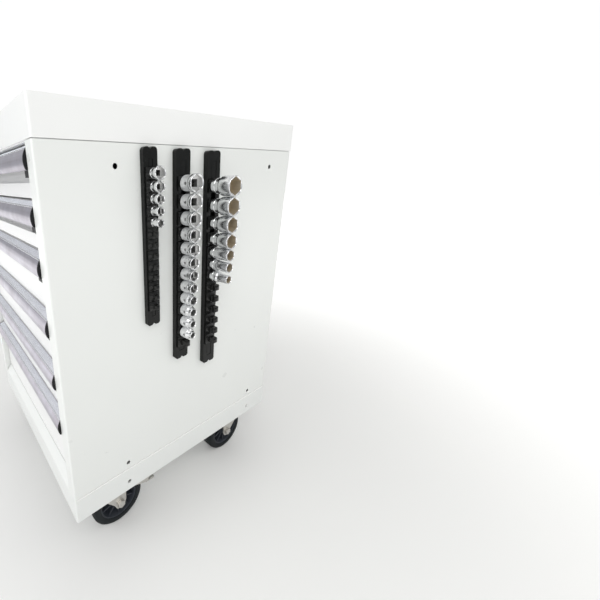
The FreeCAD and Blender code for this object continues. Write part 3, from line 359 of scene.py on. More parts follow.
def edit_of(part):
    """A part's corners and faces, open for editing, with its faces outwards."""
    edit = bmesh.new()
    corners = [edit.verts.new(vertex) for vertex in part[0]]
    for face in part[1]:
        edit.faces.new([corners[corner] for corner in face])
    bmesh.ops.recalc_face_normals(edit, faces=edit.faces)
    return edit


def mesh_from(edit, name="part"):
    """Ends an edit and returns its mesh."""
    mesh = bpy.data.meshes.new(name)
    edit.to_mesh(mesh)
    edit.free()
    return mesh


def gathered(name, parts):
    """Many meshes as one. Each comes with the matrix that puts it in place."""
    whole = bmesh.new()
    for mesh, matrix in parts:
        mesh.transform(matrix)
        whole.from_mesh(mesh)
    return mesh_from(whole, name)


def moved(part, matrix):
    """The same corners and faces somewhere else."""
    vertices, faces = part
    return [matrix @ vertex for vertex in vertices], faces


def finish_piece(name, mesh, material, body, sharp):
    """Cleans a mesh, shades it, and puts it in the scene on its body."""
    edit = bmesh.new()
    edit.from_mesh(mesh)
    bmesh.ops.remove_doubles(edit, verts=edit.verts, dist=1e-6)
    bmesh.ops.recalc_face_normals(edit, faces=edit.faces)
    for face in edit.faces:
        face.smooth = True
    edit.to_mesh(mesh)
    edit.free()
    mesh.set_sharp_from_angle(angle=math.radians(sharp))
    if material and not mesh.materials:
        mesh.materials.append(material)
    made = placed(name, mesh)
    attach(made, body)
    return made


# %% [markdown]
# ## Turning and broaching
#
# A socket is turned on a lathe and then broached: a square is pushed through its
# drive end and a hexagon into its mouth. Spinning a profile gives only the round
# part. Cutting the holes with booleans works, but leaves long thin faces. So the
# sleeve is woven instead: it is a list of rings, and each ring may be round, square
# or hexagonal. The list runs along the outside and back through the hole, and
# closes on itself.

# %% Rings and sleeves
def ring_radius(kind, size, angle):
    """How far a ring is from its axis. Size is a radius, or a width across flats."""
    if kind == "round":
        return size
    sector = {"hexagon": math.tau / 6, "square": math.tau / 4}[kind]
    turn = (angle + sector / 2) % sector - sector / 2
    return size / 2 / math.cos(turn)


def sleeve(rings, count=48, closed=True):
    """A tube along X through rings of (distance, kind, size), each with so many corners."""
    vertices, faces = [], []
    for distance, kind, size in rings:
        for step in range(count):
            angle = math.tau * step / count
            radius = ring_radius(kind, size, angle)
            across, up = radius * math.cos(angle), radius * math.sin(angle)
            vertices.append(Vector((distance, across, up)))
    total = len(rings)
    for ring in range(total if closed else total - 1):
        near, far = ring * count, (ring + 1) % total * count
        for step in range(count):
            beside = (step + 1) % count
            faces.append((near + step, near + beside, far + beside, far + step))
    return vertices, faces


def turned(profile):
    """Rings of a lathe-turned piece from (distance, radius) pairs."""
    return [(distance, "round", radius) for distance, radius in profile]


def both_ways(profile):
    """A profile that goes on as its own mirror image."""
    return profile + [(-distance, radius) for distance, radius in reversed(profile)]


# %% [markdown]
# ## The three rails
#
# Each rail is a list of measures: how long it is, where its top is, how it leans, its
# drive size, and the hexagons of the sockets on it. Sockets and clips stand at
# places along it that follow from these: clips close up until they or their sockets
# meet. A socket's collar swells with its mouth, so a big one looks big at both ends.

# %% Rails and places along them
CLIPS = 13
CLIP_PLATE, CLIP_SHOULDER, STUD_TIP = mm(2.2, 2, 1.2)
END_WALL = mm(14)
GAP = mm(0.3)


class Rail:
    """A socket rail. Its own axes are X out of the side panel and Z along its length."""

    def __init__(self, word, long, top, lean, width, thickness, stud, clip, first, collar,
                 swell, lengths, share, flats):
        self.word, self.body = word, word + "_rail"
        self.long, self.first, self.clip, self.stud = mm(long, first, clip, stud)
        self.width, self.thickness, self.narrowest = mm(width, thickness, collar)
        self.swell, self.share = swell, share
        self.flats = [mm(size) for size in flats]
        self.longest, self.shortest = mm(*lengths)
        behind, below = mm(*top)
        origin = Vector((PANEL_X, POST_FACE + behind, SEAM - below))
        self.matrix = Matrix.Translation(origin) @ Matrix.Rotation(math.radians(lean), 4, "X")

    def mouth(self, index):
        """Outside diameter of a socket's nut end: its hexagon and a wall."""
        return 1.2 * self.flats[index] + mm(1.3)

    def collar(self, index):
        """Outside radius of a socket's drive end."""
        return max(self.narrowest, self.swell * self.mouth(index)) / 2

    def length(self, index):
        """Length of a socket. They shrink evenly along the rail."""
        part = index / (len(self.flats) - 1)
        return self.longest - (self.longest - self.shortest) * part

    def places(self):
        """Distance of each clip below the rail's top."""
        widths = [max(self.mouth(index), self.narrowest) for index in range(len(self.flats))]
        found = [self.first]
        for index in range(CLIPS - 1):
            step = self.clip + GAP
            if index + 1 < len(widths):
                step = max(step, (widths[index] + widths[index + 1]) / 2 + mm(0.4))
            found.append(found[-1] + step)
        return found

    def seat(self):
        """How far a socket's rear end stands from the panel."""
        return self.thickness + CLIP_PLATE + CLIP_SHOULDER + GAP

    def at(self, out, along):
        """A place on the rail: so far out from the panel and so far down."""
        return self.matrix @ Matrix.Translation((out, 0, -along))


RAILS = [
    Rail("front", long=240, top=(141.5, 3), lean=0.8, width=22, thickness=7, stud=6.3,
         clip=14.5, first=31, collar=11.8, swell=0.74, lengths=(15.9, 15.4), share=0.5,
         flats=(13, 11, 10, 9, 8)),
    Rail("middle", long=314, top=(195.5, 3.6), lean=0.8, width=25, thickness=8, stud=9.4,
         clip=18.6, first=43.5, collar=17.6, swell=0.86, lengths=(22.2, 20.2), share=0.62,
         flats=(19, 18, 17, 16, 15, 14, 13, 12, 11, 10, 9, 8)),
    Rail("rear", long=345, top=(254, 4.5), lean=1.6, width=26, thickness=8, stud=9.4,
         clip=18.7, first=48, collar=17.6, swell=0.8, lengths=(35.9, 32.1), share=0.36,
         flats=(22, 21, 19, 18, 14, 12, 10)),
]
for rail in RAILS:
    last = rail.places()[-1] * 1000
    print(rail.word, "rail:", len(rail.flats), "sockets, last clip %.0f mm down" % last)


# %% [markdown]
# ## Knurling
#
# The drive end of the middle row's sockets is knurled for the fingers: rings of
# small pyramids pressed into the steel. They repeat exactly round a circle and
# along it, which is what Geometry Nodes do best: points on a circle, the circle
# repeated along the axis, and a four-sided cone on each point, facing outwards.

# %% A tree of Geometry Nodes
class Tree:
    """A Geometry Nodes tree with named inputs and a material for what it makes."""

    def __init__(self, name, **sizes):
        sizes["material"] = "Material"
        self.group = bpy.data.node_groups.new(name, "GeometryNodeTree")
        self.sockets = {}
        face = self.group.interface
        face.new_socket("Geometry", in_out="OUTPUT", socket_type="NodeSocketGeometry")
        for label, kind in sizes.items():
            title = label.replace("_", " ").capitalize()
            self.sockets[label] = face.new_socket(
                title, in_out="INPUT", socket_type="NodeSocket" + kind)
        self.inputs = self.group.nodes.new("NodeGroupInput")

    def size(self, label):
        """The socket of a named input."""
        return self.inputs.outputs[self.sockets[label].name]

    def node(self, kind, settings=None, values=None):
        """Adds a node and returns its outputs."""
        return add_node(self.group, kind, settings, values).outputs

    def copies(self, points, piece, turn=(0, 0, 0)):
        """A copy of a piece on each point."""
        return self.node("GeometryNodeInstanceOnPoints", values={
            "Points": points, "Instance": piece, "Rotation": turn})[0]

    def end(self, geometry):
        """Realises the instances and gives them the material."""
        real = self.node("GeometryNodeRealizeInstances", values={0: geometry})
        coat = self.node("GeometryNodeSetMaterial", values={
            0: real[0], "Material": self.size("material")})
        add_node(self.group, "NodeGroupOutput", None, {0: coat[0]})
        return self

    def grow(self, **values):
        """The mesh that the tree makes for these sizes."""
        holder = placed("holder", bpy.data.meshes.new("holder"))
        modifier = holder.modifiers.new("grow", "NODES")
        modifier.node_group = self.group
        for label, value in values.items():
            modifier[self.sockets[label].identifier] = value
        seen = holder.evaluated_get(bpy.context.evaluated_depsgraph_get())
        mesh = bpy.data.meshes.new_from_object(seen)
        bpy.data.objects.remove(holder)
        return mesh


# %% The knurling tree
def knurl_tree():
    """Rings of cones round the X axis, pointing outwards."""
    tree = Tree("Knurling", teeth="Int", radius="Float", rows="Int", pitch="Float",
                height="Float")
    ring = tree.node("GeometryNodeMeshCircle", values={
        "Vertices": tree.size("teeth"), "Radius": tree.size("radius")})
    stand = tree.node("GeometryNodeTransform", values={
        "Geometry": ring[0], "Rotation": (0, math.pi / 2, 0)})
    row = tree.node("ShaderNodeCombineXYZ", values={"X": tree.size("pitch")})
    line = tree.node("GeometryNodeMeshLine", values={
        "Count": tree.size("rows"), "Offset": row[0]})
    points = tree.node("GeometryNodeRealizeInstances", values={
        0: tree.copies(line[0], stand[0])})
    place = tree.node("GeometryNodeInputPosition")
    outward = tree.node("ShaderNodeVectorMath", {"operation": "MULTIPLY"},
                        {0: place[0], 1: (0, 1, 1)})
    facing = tree.node("FunctionNodeAlignRotationToVector", {"axis": "Z"},
                       {"Vector": outward[0]})
    base = tree.node("ShaderNodeMath", {"operation": "MULTIPLY"},
                     {0: tree.size("pitch"), 1: 0.68})
    tooth = tree.node("GeometryNodeMeshCone", values={
        "Vertices": 4, "Radius Bottom": base[0], "Depth": tree.size("height")})
    return tree.end(tree.copies(points[0], tooth["Mesh"], facing[0]))


knurling = knurl_tree()
print("knurling inputs:", ", ".join(knurling.sockets))


# %% [markdown]
# ## Sockets
#
# The three sets differ. The small set and the deep set have a groove round the
# collar. The middle set has a knurled collar and a round detent hole that faces
# forward. All are the same sleeve with different rings, so one function lists the
# rings for any of them. The hole is round, in a wall that isn't flat, and there a
# boolean is the honest tool: it is a drilled hole, so it is cut with a drill.

# %% Rings of one socket
EDGE = mm(0.5)
# Each groove: its depth, then its four edges as shares of the collar's length.
GROOVES = {"rear": (mm(0.5), 0.45, 0.5, 0.62, 0.67), "front": (mm(0.4), 0.3, 0.36, 0.5, 0.56)}
# Shares of a socket's length: the cone behind its collar, and the nut's floor beyond it.
CONES = {"front": 0.14, "middle": 0.14, "rear": 0.09}
LEDGE = 0.14


def groove(rail, step, collar):
    """Rings of the groove in a collar, where the rail's sockets have one."""
    if rail.word not in GROOVES:
        return []
    depth, *edges = GROOVES[rail.word]
    radii = (collar, collar - depth, collar - depth, collar)
    return [(step * edge, radius) for edge, radius in zip(edges, radii)]


def socket_rings(rail, index):
    """One socket, from its square drive round the outside and back through its mouth."""
    long, nose, collar = rail.length(index), rail.mouth(index) / 2, rail.collar(index)
    flats, drive = rail.flats[index], rail.stud + EDGE
    step = long * rail.share
    cone = step + long * CONES[rail.word]
    floor = step + long * LEDGE if nose > collar else step
    rise = (nose - collar) * 0.1
    lip = min(flats / math.sqrt(3) + mm(0.35), nose - EDGE - mm(0.05))
    outside = [(0, collar - EDGE), (EDGE, collar)] + groove(rail, step, collar)
    outside += [(step - mm(0.4), collar), (step + mm(0.3), collar + rise),
                ((step + cone) / 2, (collar + nose) / 2), (cone - mm(0.3), nose - rise),
                (cone + mm(0.5), nose), (long - EDGE * 1.6, nose),
                (long - EDGE * 0.5, nose - EDGE * 0.5), (long, nose - EDGE), (long, lip)]
    return ([(mm(0.9), "square", drive), (0, "square", drive + mm(1))] + turned(outside)
            + [(long - mm(0.9), "hexagon", flats), (floor, "hexagon", flats),
               (floor - mm(0.3), "square", drive)])


# %% Cutting the detent hole
def drilled(mesh, drill):
    """The mesh with a second mesh taken out of it."""
    base, tool = placed("blank", mesh), placed("drill", drill)
    cut = base.modifiers.new("drill", "BOOLEAN")
    cut.object, cut.operation, cut.solver = tool, "DIFFERENCE", "EXACT"
    seen = base.evaluated_get(bpy.context.evaluated_depsgraph_get())
    result = bpy.data.meshes.new_from_object(seen)
    for thing in (base, tool):
        bpy.data.objects.remove(thing)
    return result


def rod_part(radius, start, end, count=20):
    """A capped cylinder along X."""
    vertices, faces = sleeve(turned([(start, radius), (end, radius)]), count, closed=False)
    return vertices, faces + [tuple(range(count)), tuple(range(count, 2 * count))]


# %% Make every socket
OUTSIDE, BORE, SATIN = 0, 1, 2
LIP = mm(0.7)


def mark_faces(mesh, rail, index):
    """Numbers each face by its finish: the bore, a knurled collar, or the rest."""
    long = rail.length(index)
    for face in mesh.polygons:
        middle = face.center
        inwards = face.normal.y * middle.y + face.normal.z * middle.z < -1e-4
        floor = mm(1) < middle.x < long - LIP and face.normal.x > 0.9
        if (inwards and middle.x < long - LIP) or floor:
            face.material_index = BORE
        elif rail.word == "middle" and middle.x < long * (rail.share - 0.03):
            face.material_index = SATIN
        else:
            face.material_index = OUTSIDE


def detent(rail, index):
    """The drill for a socket's detent hole, nearer the cone than the drive."""
    place = Matrix.Translation((rail.length(index) * 0.47, 0, 0))
    forward = Matrix.Rotation(math.radians(-90), 4, "Z")
    return mesh_from(edit_of(moved(rod_part(mm(2.1), mm(5), mm(14)), place @ forward)))


def grip(rail, index):
    """The knurling on one socket's collar."""
    teeth = knurling.grow(teeth=44, radius=rail.collar(index) - mm(0.12), rows=5,
                          pitch=mm(1.2), height=mm(0.35), material=satin_chrome)
    teeth.transform(Matrix.Translation((rail.length(index) * 0.08, 0, 0)))
    for face in teeth.polygons:
        face.material_index = SATIN
    return teeth


def make_sockets(rail):
    """All the sockets of one rail, as one piece on the body that pulls off."""
    parts = []
    for index, along in enumerate(rail.places()[:len(rail.flats)]):
        place = rail.at(rail.seat(), along)
        mesh = mesh_from(edit_of(sleeve(socket_rings(rail, index))))
        if rail.word == "middle":
            mesh = drilled(mesh, detent(rail, index))
            parts.append((grip(rail, index), place))
        mark_faces(mesh, rail, index)
        parts.append((mesh, place))
    mesh = gathered(rail.word + "_sockets", parts)
    for finish in (chrome, bore_steel if rail.word == "rear" else broached_chrome, satin_chrome):
        mesh.materials.append(finish)
    piece = finish_piece(rail.word + "_sockets_turned", mesh, None,
                         rail.word + "_rail_socket_set", 28)
    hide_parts(rail.word + "_rail_sockets")
    return piece


for rail in RAILS:
    row = make_sockets(rail)
    print(row.name, "faces:", len(row.data.polygons))


# %% [markdown]
# ## Clips
#
# A clip slides in the track and carries a square stud. It is moulded, so no edge is
# truly sharp and its stud has a little lead-in. One clip is modelled as a stack of
# rectangles, bevelled, and Geometry Nodes put a copy on each of the rail's places.
# The places come from a bare row of points, because they aren't evenly spaced: a big
# socket pushes its neighbours apart.

# %% One clip
def stack_part(levels):
    """A tower of rectangles along X: each level is (height, half width, half length)."""
    vertices, faces = [], []
    for height, half_y, half_z in levels:
        vertices += [Vector((height, y * half_y, z * half_z))
                     for y, z in ((-1, -1), (1, -1), (1, 1), (-1, 1))]
    for level in range(len(levels) - 1):
        for side in range(4):
            near, beside = level * 4 + side, level * 4 + (side + 1) % 4
            faces.append((near, beside, beside + 4, near + 4))
    last = 4 * (len(levels) - 1)
    return vertices, faces + [(3, 2, 1, 0), (last, last + 1, last + 2, last + 3)]


def bevelled(part, width, segments=2, angle=30):
    """A mesh of a part with its edges rounded."""
    edit = edit_of(part)
    edges = [edge for edge in edit.edges if edge.calc_face_angle(0) > math.radians(angle)]
    bmesh.ops.bevel(edit, geom=edges, offset=width, segments=segments, affect="EDGES",
                    clamp_overlap=True)
    return mesh_from(edit)


def clip_mesh(rail):
    """A foot in the slot, a plate on the rail's face, a shoulder, and a square stud."""
    half, stud, width = rail.clip / 2, rail.stud / 2, rail.width / 2 - mm(2)
    face = rail.thickness
    plate = face + CLIP_PLATE
    shoulder = plate + CLIP_SHOULDER
    levels = [
        (face - mm(2.4), stud, half - mm(1)), (face, stud, half - mm(1)),
        (face + mm(0.02), width, half - mm(0.1)), (plate, width, half - mm(0.1)),
        (shoulder, stud, stud + mm(0.1)), (shoulder + rail.stud, stud, stud),
        (shoulder + rail.stud + STUD_TIP, stud - STUD_TIP, stud - STUD_TIP),
    ]
    return bevelled(stack_part(levels), mm(0.35), 2, 20)


# %% The row of clips as a tree
def row_tree():
    """A copy of one object on each corner of another."""
    tree = Tree("Row of clips", places="Object", clip="Object")
    places = tree.node("GeometryNodeObjectInfo", values={"Object": tree.size("places")})
    clip = tree.node("GeometryNodeObjectInfo", values={"Object": tree.size("clip")})
    return tree.end(tree.copies(places["Geometry"], clip["Geometry"]))


def make_clips(rail, tree):
    """All the clips of one rail, as one piece."""
    dots = bpy.data.meshes.new("places")
    dots.from_pydata([(0, 0, -along) for along in rail.places()], [], [])
    places, clip = placed("spare", dots), placed("spare", clip_mesh(rail))
    mesh = tree.grow(places=places, clip=clip, material=clip_plastic)
    for spare in (places, clip):
        bpy.data.objects.remove(spare)
    mesh.transform(rail.matrix)
    piece = finish_piece(rail.word + "_clips_moulded", mesh, clip_plastic, rail.body,
                         50)
    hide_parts(rail.word + "_rail_clips")
    return piece


clip_rows = row_tree()
for rail in RAILS:
    print(make_clips(rail, clip_rows).name, "made of", CLIPS, "clips")


# %% [markdown]
# ## The slot's free ends
#
# Clips fill the middle of each rail's slot. Before the first clip and after the last
# one, a moulded block closes it, a little below the rail's face.

# %% Blocks
def slot_blocks(rail):
    """The two blocks of one rail, as one piece."""
    places, half_clip, room = rail.places(), rail.clip / 2, mm(0.4)
    ends = ((END_WALL, places[0] - half_clip - room),
            (places[-1] + half_clip + room, rail.long - END_WALL))
    parts = []
    for start, end in ends:
        half = (end - start) / 2 - mm(0.1)
        levels = [(rail.thickness - sunk, rail.stud / 2, half) for sunk in mm(2.5, 0.3)]
        parts.append((bevelled(stack_part(levels), mm(0.4)), rail.at(0, (start + end) / 2)))
    mesh = gathered(rail.word + "_blocks", parts)
    return finish_piece(rail.word + "_rail_slot_blocks", mesh, rail_plastic, rail.body,
                        50)


for rail in RAILS:
    print(slot_blocks(rail).name)


# %% [markdown]
# ## Handles
#
# Each drawer's pull is an aluminium extrusion: a sloped top, a nose and a
# bowed face. Its top has fine drawn ribs for grip. They are real ridges, so they
# break the light into lines at any angle, which a bump can't do where the edge is
# seen. A row of points runs down the slope, and each point carries one rib. The
# ribs are in a lighter copy of the aluminium, painted light on the slope that faces
# up. A glossy bead lies along the nose: its gloss gives real highlights, and its
# lighter colour is a painted highlight.

# %% A tree for ribs
def rib_tree():
    """A row of straight rods, side by side."""
    tree = Tree("Ribs", count="Int", start="Vector", step="Vector", half_length="Vector",
                radius="Float")
    line = tree.node("GeometryNodeMeshLine", values={
        "Count": tree.size("count"), "Start Location": tree.size("start"),
        "Offset": tree.size("step")})
    back = tree.node("ShaderNodeVectorMath", {"operation": "SCALE"},
                     {0: tree.size("half_length"), "Scale": -1.0})
    path = tree.node("GeometryNodeCurvePrimitiveLine", values={
        "Start": back[0], "End": tree.size("half_length")})
    section = tree.node("GeometryNodeCurvePrimitiveCircle", values={
        "Resolution": 8, "Radius": tree.size("radius")})
    rib = tree.node("GeometryNodeCurveToMesh", values={
        "Curve": path[0], "Profile Curve": section[0], "Fill Caps": True})
    return tree.end(tree.copies(line[0], rib[0]))


ribs = rib_tree()


def bead(start, half_length, radius, material):
    """A single rod: the same tree with a count of one."""
    return ribs.grow(count=1, start=tuple(start), step=(0, 0, mm(1)), half_length=half_length,
                     radius=radius, material=material)


# %% Ribs and nose of each handle
RIBS = 9
SLOPE_REAR, SLOPE_NOSE, SLOPE_FALL = mm(10.5, 0.4, 5.35)


def handle_ribs(number):
    """The ribs on one handle's sloped top, and the polished nose below them, both lighter than
    the handle as painted light.
    """
    word = "drawer_%d" % number
    low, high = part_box(word + "_handle")
    rear = Vector((0, POST_FACE + SLOPE_REAR, high[2]))
    nose = Vector((0, POST_FACE + SLOPE_NOSE, high[2] - SLOPE_FALL))
    step = (nose - rear) / (RIBS + 2)
    half = ((high[0] - low[0]) / 2 - mm(0.1), 0, 0)
    mesh = ribs.grow(count=RIBS, start=tuple(rear + step * 1.4), step=tuple(step),
                     half_length=half, radius=mm(0.38), material=rib_painted_light_metal)
    piece = finish_piece(word + "_handle_ribs", mesh, rib_painted_light_metal, word, 40)
    mesh = bead(nose + Vector(mm(0, 0.2, -0.4)), half, mm(0.9), nose_painted_highlight_metal)
    finish_piece(word + "_handle_nose", mesh, nose_painted_highlight_metal, word, 60)
    return piece


DRAWERS = 6
for number in range(1, DRAWERS + 1):
    print(handle_ribs(number).name, "on the slope")


# %% [markdown]
# ## The mat, and the lock's rim
#
# The tree that ribbed the handles also ribs the rubber mat in the lid: only its
# numbers differ. The lock gets a turned rim round its plug, a ring with a rounded
# section, made by the sleeve that made the sockets.

# %% Ribs of the mat
low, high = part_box("top_mat")
MAT_PITCH = mm(5)
count = int((high[1] - low[1]) / MAT_PITCH) - 1
mesh = ribs.grow(
    count=count, start=((low[0] + high[0]) / 2, low[1] + MAT_PITCH, high[2] - mm(0.15)),
    step=(0, MAT_PITCH, 0), half_length=((high[0] - low[0]) / 2 - mm(3), 0, 0),
    radius=mm(0.7), material=mat_rubber)
print(finish_piece("top_mat_ribs", mesh, mat_rubber, "cabinet", 60).name, count)

# %% Rim of the lock
ALONG_Y = Matrix.Rotation(math.radians(90), 4, "Z")
RIM = ((0.6, 0.3), (0.1, 0.9), (0.1, 1.6), (0.9, 2.4), (2, 2.4), (2, 0.3))
low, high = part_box("lock_plug")
lid_low, lid_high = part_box("top_lid")
plug = (high[0] - low[0]) / 2
height = lid_low[2] + (lid_high[2] - SEAM) / 2
upright = Matrix.Translation(((low[0] + high[0]) / 2, low[1], height)) @ ALONG_Y
rings = turned((mm(depth), plug + mm(wider)) for depth, wider in RIM)
mesh = mesh_from(edit_of(moved(sleeve(rings), upright)))
print(finish_piece("lock_rim", mesh, lock_metal, "cabinet", 50).name)


# %% [markdown]
# ## The push handle
#
# A round tube is held by two brackets with spread feet. The brackets are cast, so
# their edges are rounded by a bevel of a millimetre and a half. The tube is a sleeve
# again, closed at both ends by rings that shrink to a small radius.

# %% Brackets
def cast_bracket(panel, bar, place, height, half):
    """A spread foot on the panel that narrows to the tube."""
    foot, skin, neck = 2 * half, panel - mm(4), panel - mm(8)
    outline = [(panel, -foot), (panel, foot), (skin, foot), (neck, half), (bar, half),
               (bar, -half), (neck, -half), (skin, -foot)]
    vertices = [Vector((x, place + y, height + z)) for z in (-half, half) for x, y in outline]
    count = len(outline)
    faces = [tuple(range(count)), tuple(range(count, 2 * count))]
    for step in range(count):
        beside = (step + 1) % count
        faces.append((step, beside, beside + count, step + count))
    return bevelled((vertices, faces), mm(1.5), 3)


# %% Tube, brackets and bolts as one piece
HALF_BRACKET, TUBE, FALL, PLUG, INSET = mm(8, 11, 1.5, 6, 20)
low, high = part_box("push_handle")
bar, height, reach = low[0] + TUBE, (low[2] + high[2]) / 2, (high[1] - low[1]) / 2
hole = TUBE * 0.4
rings = both_ways([(PLUG - reach, hole), (-reach, hole), (-reach, TUBE - FALL),
                   (FALL * 0.3 - reach, TUBE - FALL * 0.3), (FALL - reach, TUBE)])
centre = Matrix.Translation((bar, (low[1] + high[1]) / 2, height))
parts = [(mesh_from(edit_of(sleeve(turned(rings), 40))), centre @ ALONG_Y)]
for place in (low[1] + INSET, high[1] - INSET):
    bracket = cast_bracket(-PANEL_X, bar, place, height, HALF_BRACKET)
    bolt = mesh_from(edit_of(rod_part(*mm(3.4, -4, 10))))
    parts += [(bracket, Matrix.Identity(4)),
              (bolt, Matrix.Translation((-PANEL_X, place, height)))]
tube = finish_piece("push_handle_tube", gathered("push_handle", parts), handle_paint,
                    "cabinet", 40)
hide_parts("push_handle")
print(tube.name, "with", len(parts) - 1, "brackets and bolts")


# %% [markdown]
# ## Nuts under the castors, and the fold above the skirt
#
# Four nuts hold each castor's plate. They sit on a grid of two by two points, so a
# second small tree makes them. The step where the skirt meets the side panel is a
# folded edge, and a fold is never sharp: a thin bead stands for it, and its enamel
# is lighter than the panel's, a painted highlight along the fold.

# %% A tree for nuts
def nut_tree():
    """Four six-sided nuts on the corners of a rectangle."""
    tree = Tree("Nuts", wide="Float", long="Float", radius="Float", thick="Float")
    grid = tree.node("GeometryNodeMeshGrid", values={
        "Size X": tree.size("wide"), "Size Y": tree.size("long"),
        "Vertices X": 2, "Vertices Y": 2})
    nut = tree.node("GeometryNodeMeshCylinder", values={
        "Vertices": 6, "Radius": tree.size("radius"), "Depth": tree.size("thick")})
    return tree.end(tree.copies(grid["Mesh"], nut["Mesh"]))


# %% Nuts of the four castors
nuts = nut_tree()
NUT_MARGIN, NUT_RADIUS, NUT_THICK, NUT_DROP = mm(14, 5.2, 5, 2.3)
corners = [vertex.co for vertex in frame["nodes"]["castor_plates"].data.vertices]
for side, hand in ((-1, "_left"), (1, "_right")):
    for end, row in ((-1, "front"), (1, "rear")):
        plate = [corner for corner in corners if corner.x * side > 0 and corner.y * end > 0]
        xs, ys, zs = [[corner[axis] for corner in plate] for axis in range(3)]
        mesh = nuts.grow(wide=max(xs) - min(xs) - NUT_MARGIN, long=max(ys) - min(ys) - NUT_MARGIN,
                         radius=NUT_RADIUS, thick=NUT_THICK, material=zinc)
        place = ((max(xs) + min(xs)) / 2, (max(ys) + min(ys)) / 2, min(zs) - NUT_DROP)
        mesh.transform(Matrix.Translation(place))
        name = "castor_%s_nuts" % (row + hand)
        print(finish_piece(name, mesh, zinc, "cabinet", 20).name)

# %% Fold above the skirt
low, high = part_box("base_frame")
half = (0, (high[1] - low[1]) / 2 - mm(4), 0)
for word, edge in (("left", low[0] + mm(0.3)), ("right", high[0] - mm(0.3))):
    # The bead's lighter enamel is a painted highlight on the fold.
    mesh = bead((edge, (low[1] + high[1]) / 2, side_low[2] - mm(0.3)), half, mm(0.8),
                edge_painted_highlight_enamel)
    name = "skirt_fold_" + word
    print(finish_piece(name, mesh, edge_painted_highlight_enamel, "cabinet", 60).name)


# %% [markdown]
# ## Castors
#
# The wheels are moulded: a soft tyre with rounded shoulders on a hard grey centre
# with webs. The CAD wheel is a plain many-sided disc, true in size, so it is
# replaced by a turned tyre, a turned centre and a ring of webs. The tyre's rings go
# out from the bead over the shoulder, across the tread, and back.

# %% A tree for webs
def web_tree():
    """Blocks that stand like spokes."""
    tree = Tree("Webs", count="Int", radius="Float", web="Vector")
    ring = tree.node("GeometryNodeMeshCircle", values={
        "Vertices": tree.size("count"), "Radius": tree.size("radius")})
    place = tree.node("GeometryNodeInputPosition")
    facing = tree.node("FunctionNodeAlignRotationToVector", {"axis": "X"},
                       {"Vector": place[0]})
    web = tree.node("GeometryNodeMeshCube", values={"Size": tree.size("web")})
    return tree.end(tree.copies(ring[0], web["Mesh"], facing[0]))


# %% Wheels
webs = web_tree()
HALF_TREAD, BORE_RADIUS, BOSS = mm(15, 4.1, 11)
RIM_SHARE, SPOKES = 0.72, 10
# How far in from the side of the tyre, and how far below the tread.
SHOULDER = ((0, 6), (0.7, 3.4), (2.4, 1.4), (5, 0.3), (8, 0))


def tyre_rings(radius, rim):
    """Up one side from the bead, across the tread, and down the other side."""
    bead_rings = [(mm(3) - HALF_TREAD, rim), (mm(0.6) - HALF_TREAD, rim),
                  (-HALF_TREAD, rim + mm(1))]
    shoulder = [(mm(inwards) - HALF_TREAD, radius - mm(fall)) for inwards, fall in SHOULDER]
    return turned(both_ways(bead_rings + shoulder))


def centre_rings(rim):
    """From the bore over the boss and down to the web, up to the rim, and back."""
    boss = [(-mm(17.1), BORE_RADIUS), (-mm(17.1), BOSS - mm(0.8)), (-mm(16.3), BOSS),
            (-mm(5), BOSS + mm(1.5)), (-mm(3), BOSS + mm(4))]
    seat = mm(1.2) - HALF_TREAD
    edge = [(-mm(2.5), rim - mm(5)), (mm(3.4) - HALF_TREAD, rim - mm(3)), (seat, rim - mm(2)),
            (seat, rim)]
    return turned(both_ways(boss + edge))


def make_wheel(word):
    """Tyre, centre and webs of one castor wheel."""
    low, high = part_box("castor_%s_wheel" % word)
    middle = Matrix.Translation((Vector(low) + Vector(high)) / 2)
    radius = (high[2] - low[2]) / 2
    rim = radius * RIM_SHARE
    spokes = webs.grow(count=SPOKES, radius=(BOSS + rim) / 2, material=hub_plastic,
                       web=(rim - BOSS - mm(1), mm(2.4), mm(21)))
    spokes.transform(Matrix.Rotation(math.radians(90), 4, "Y"))
    layers = (("tyre", mesh_from(edit_of(sleeve(tyre_rings(radius, rim), 72))), tyre_rubber, 40),
              ("centre", mesh_from(edit_of(sleeve(centre_rings(rim)))), hub_plastic, 40),
              ("webs", spokes, hub_plastic, 30))
    made = []
    for layer, mesh, material, sharp in layers:
        mesh.transform(middle)
        made.append(finish_piece("castor_%s_%s" % (word, layer), mesh, material,
                                 "wheel_" + word, sharp))
    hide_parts("castor_%s_wheel" % word)
    return made


for word in ("front_right", "front_left", "rear_right", "rear_left"):
    print([piece.name for piece in make_wheel(word)])


# %% [markdown]
# ## Floor, light and camera
#
# A pale floor and large soft lights suit glossy metal: chrome shows only what is
# around it, so it needs broad bright shapes and some darkness between them. The
# camera stands close to the side panel and a little above the middle of it, with a
# wide lens, so the panel's edges run together quickly.

# %% Floor
floor_paint = Finish("studio_floor", roughness=0.7, emission_strength=0.55)
floor_paint.set(base_color=floor_paint.mix(
    floor_paint.noise(2, 2), (0.84, 0.84, 0.83, 1), (0.81, 0.81, 0.8, 1)))
flat = floor_paint.node("Mapping", values={
    "Vector": floor_paint.place, "Scale": (1, 1, 0)})["Vector"]
reach = floor_paint.node("VectorMath", {"operation": "LENGTH"}, {0: flat})["Value"]
FADE_START, FADE_END, FLOOR_HALF = 0.4, 1.7, 12
fade = floor_paint.node("MapRange", {"interpolation_type": "SMOOTHSTEP"}, {
    "Value": reach, "From Min": FADE_START, "From Max": FADE_END})[0]
# Painted light: the floor glows, faintly near the cabinet and fully white from FADE_END out, so
# that it fades into the white backdrop.
floor_paint.set(emission_color=floor_paint.mix(fade, (0.12, 0.12, 0.12, 1), (1, 1, 1, 1)))
edit = bmesh.new()
bmesh.ops.create_grid(edit, x_segments=1, y_segments=1, size=FLOOR_HALF)
floor = placed("studio_floor", mesh_from(edit, "studio_floor"))
floor.data.materials.append(floor_paint.material)
print("floor:", tuple(floor.dimensions)[:2])


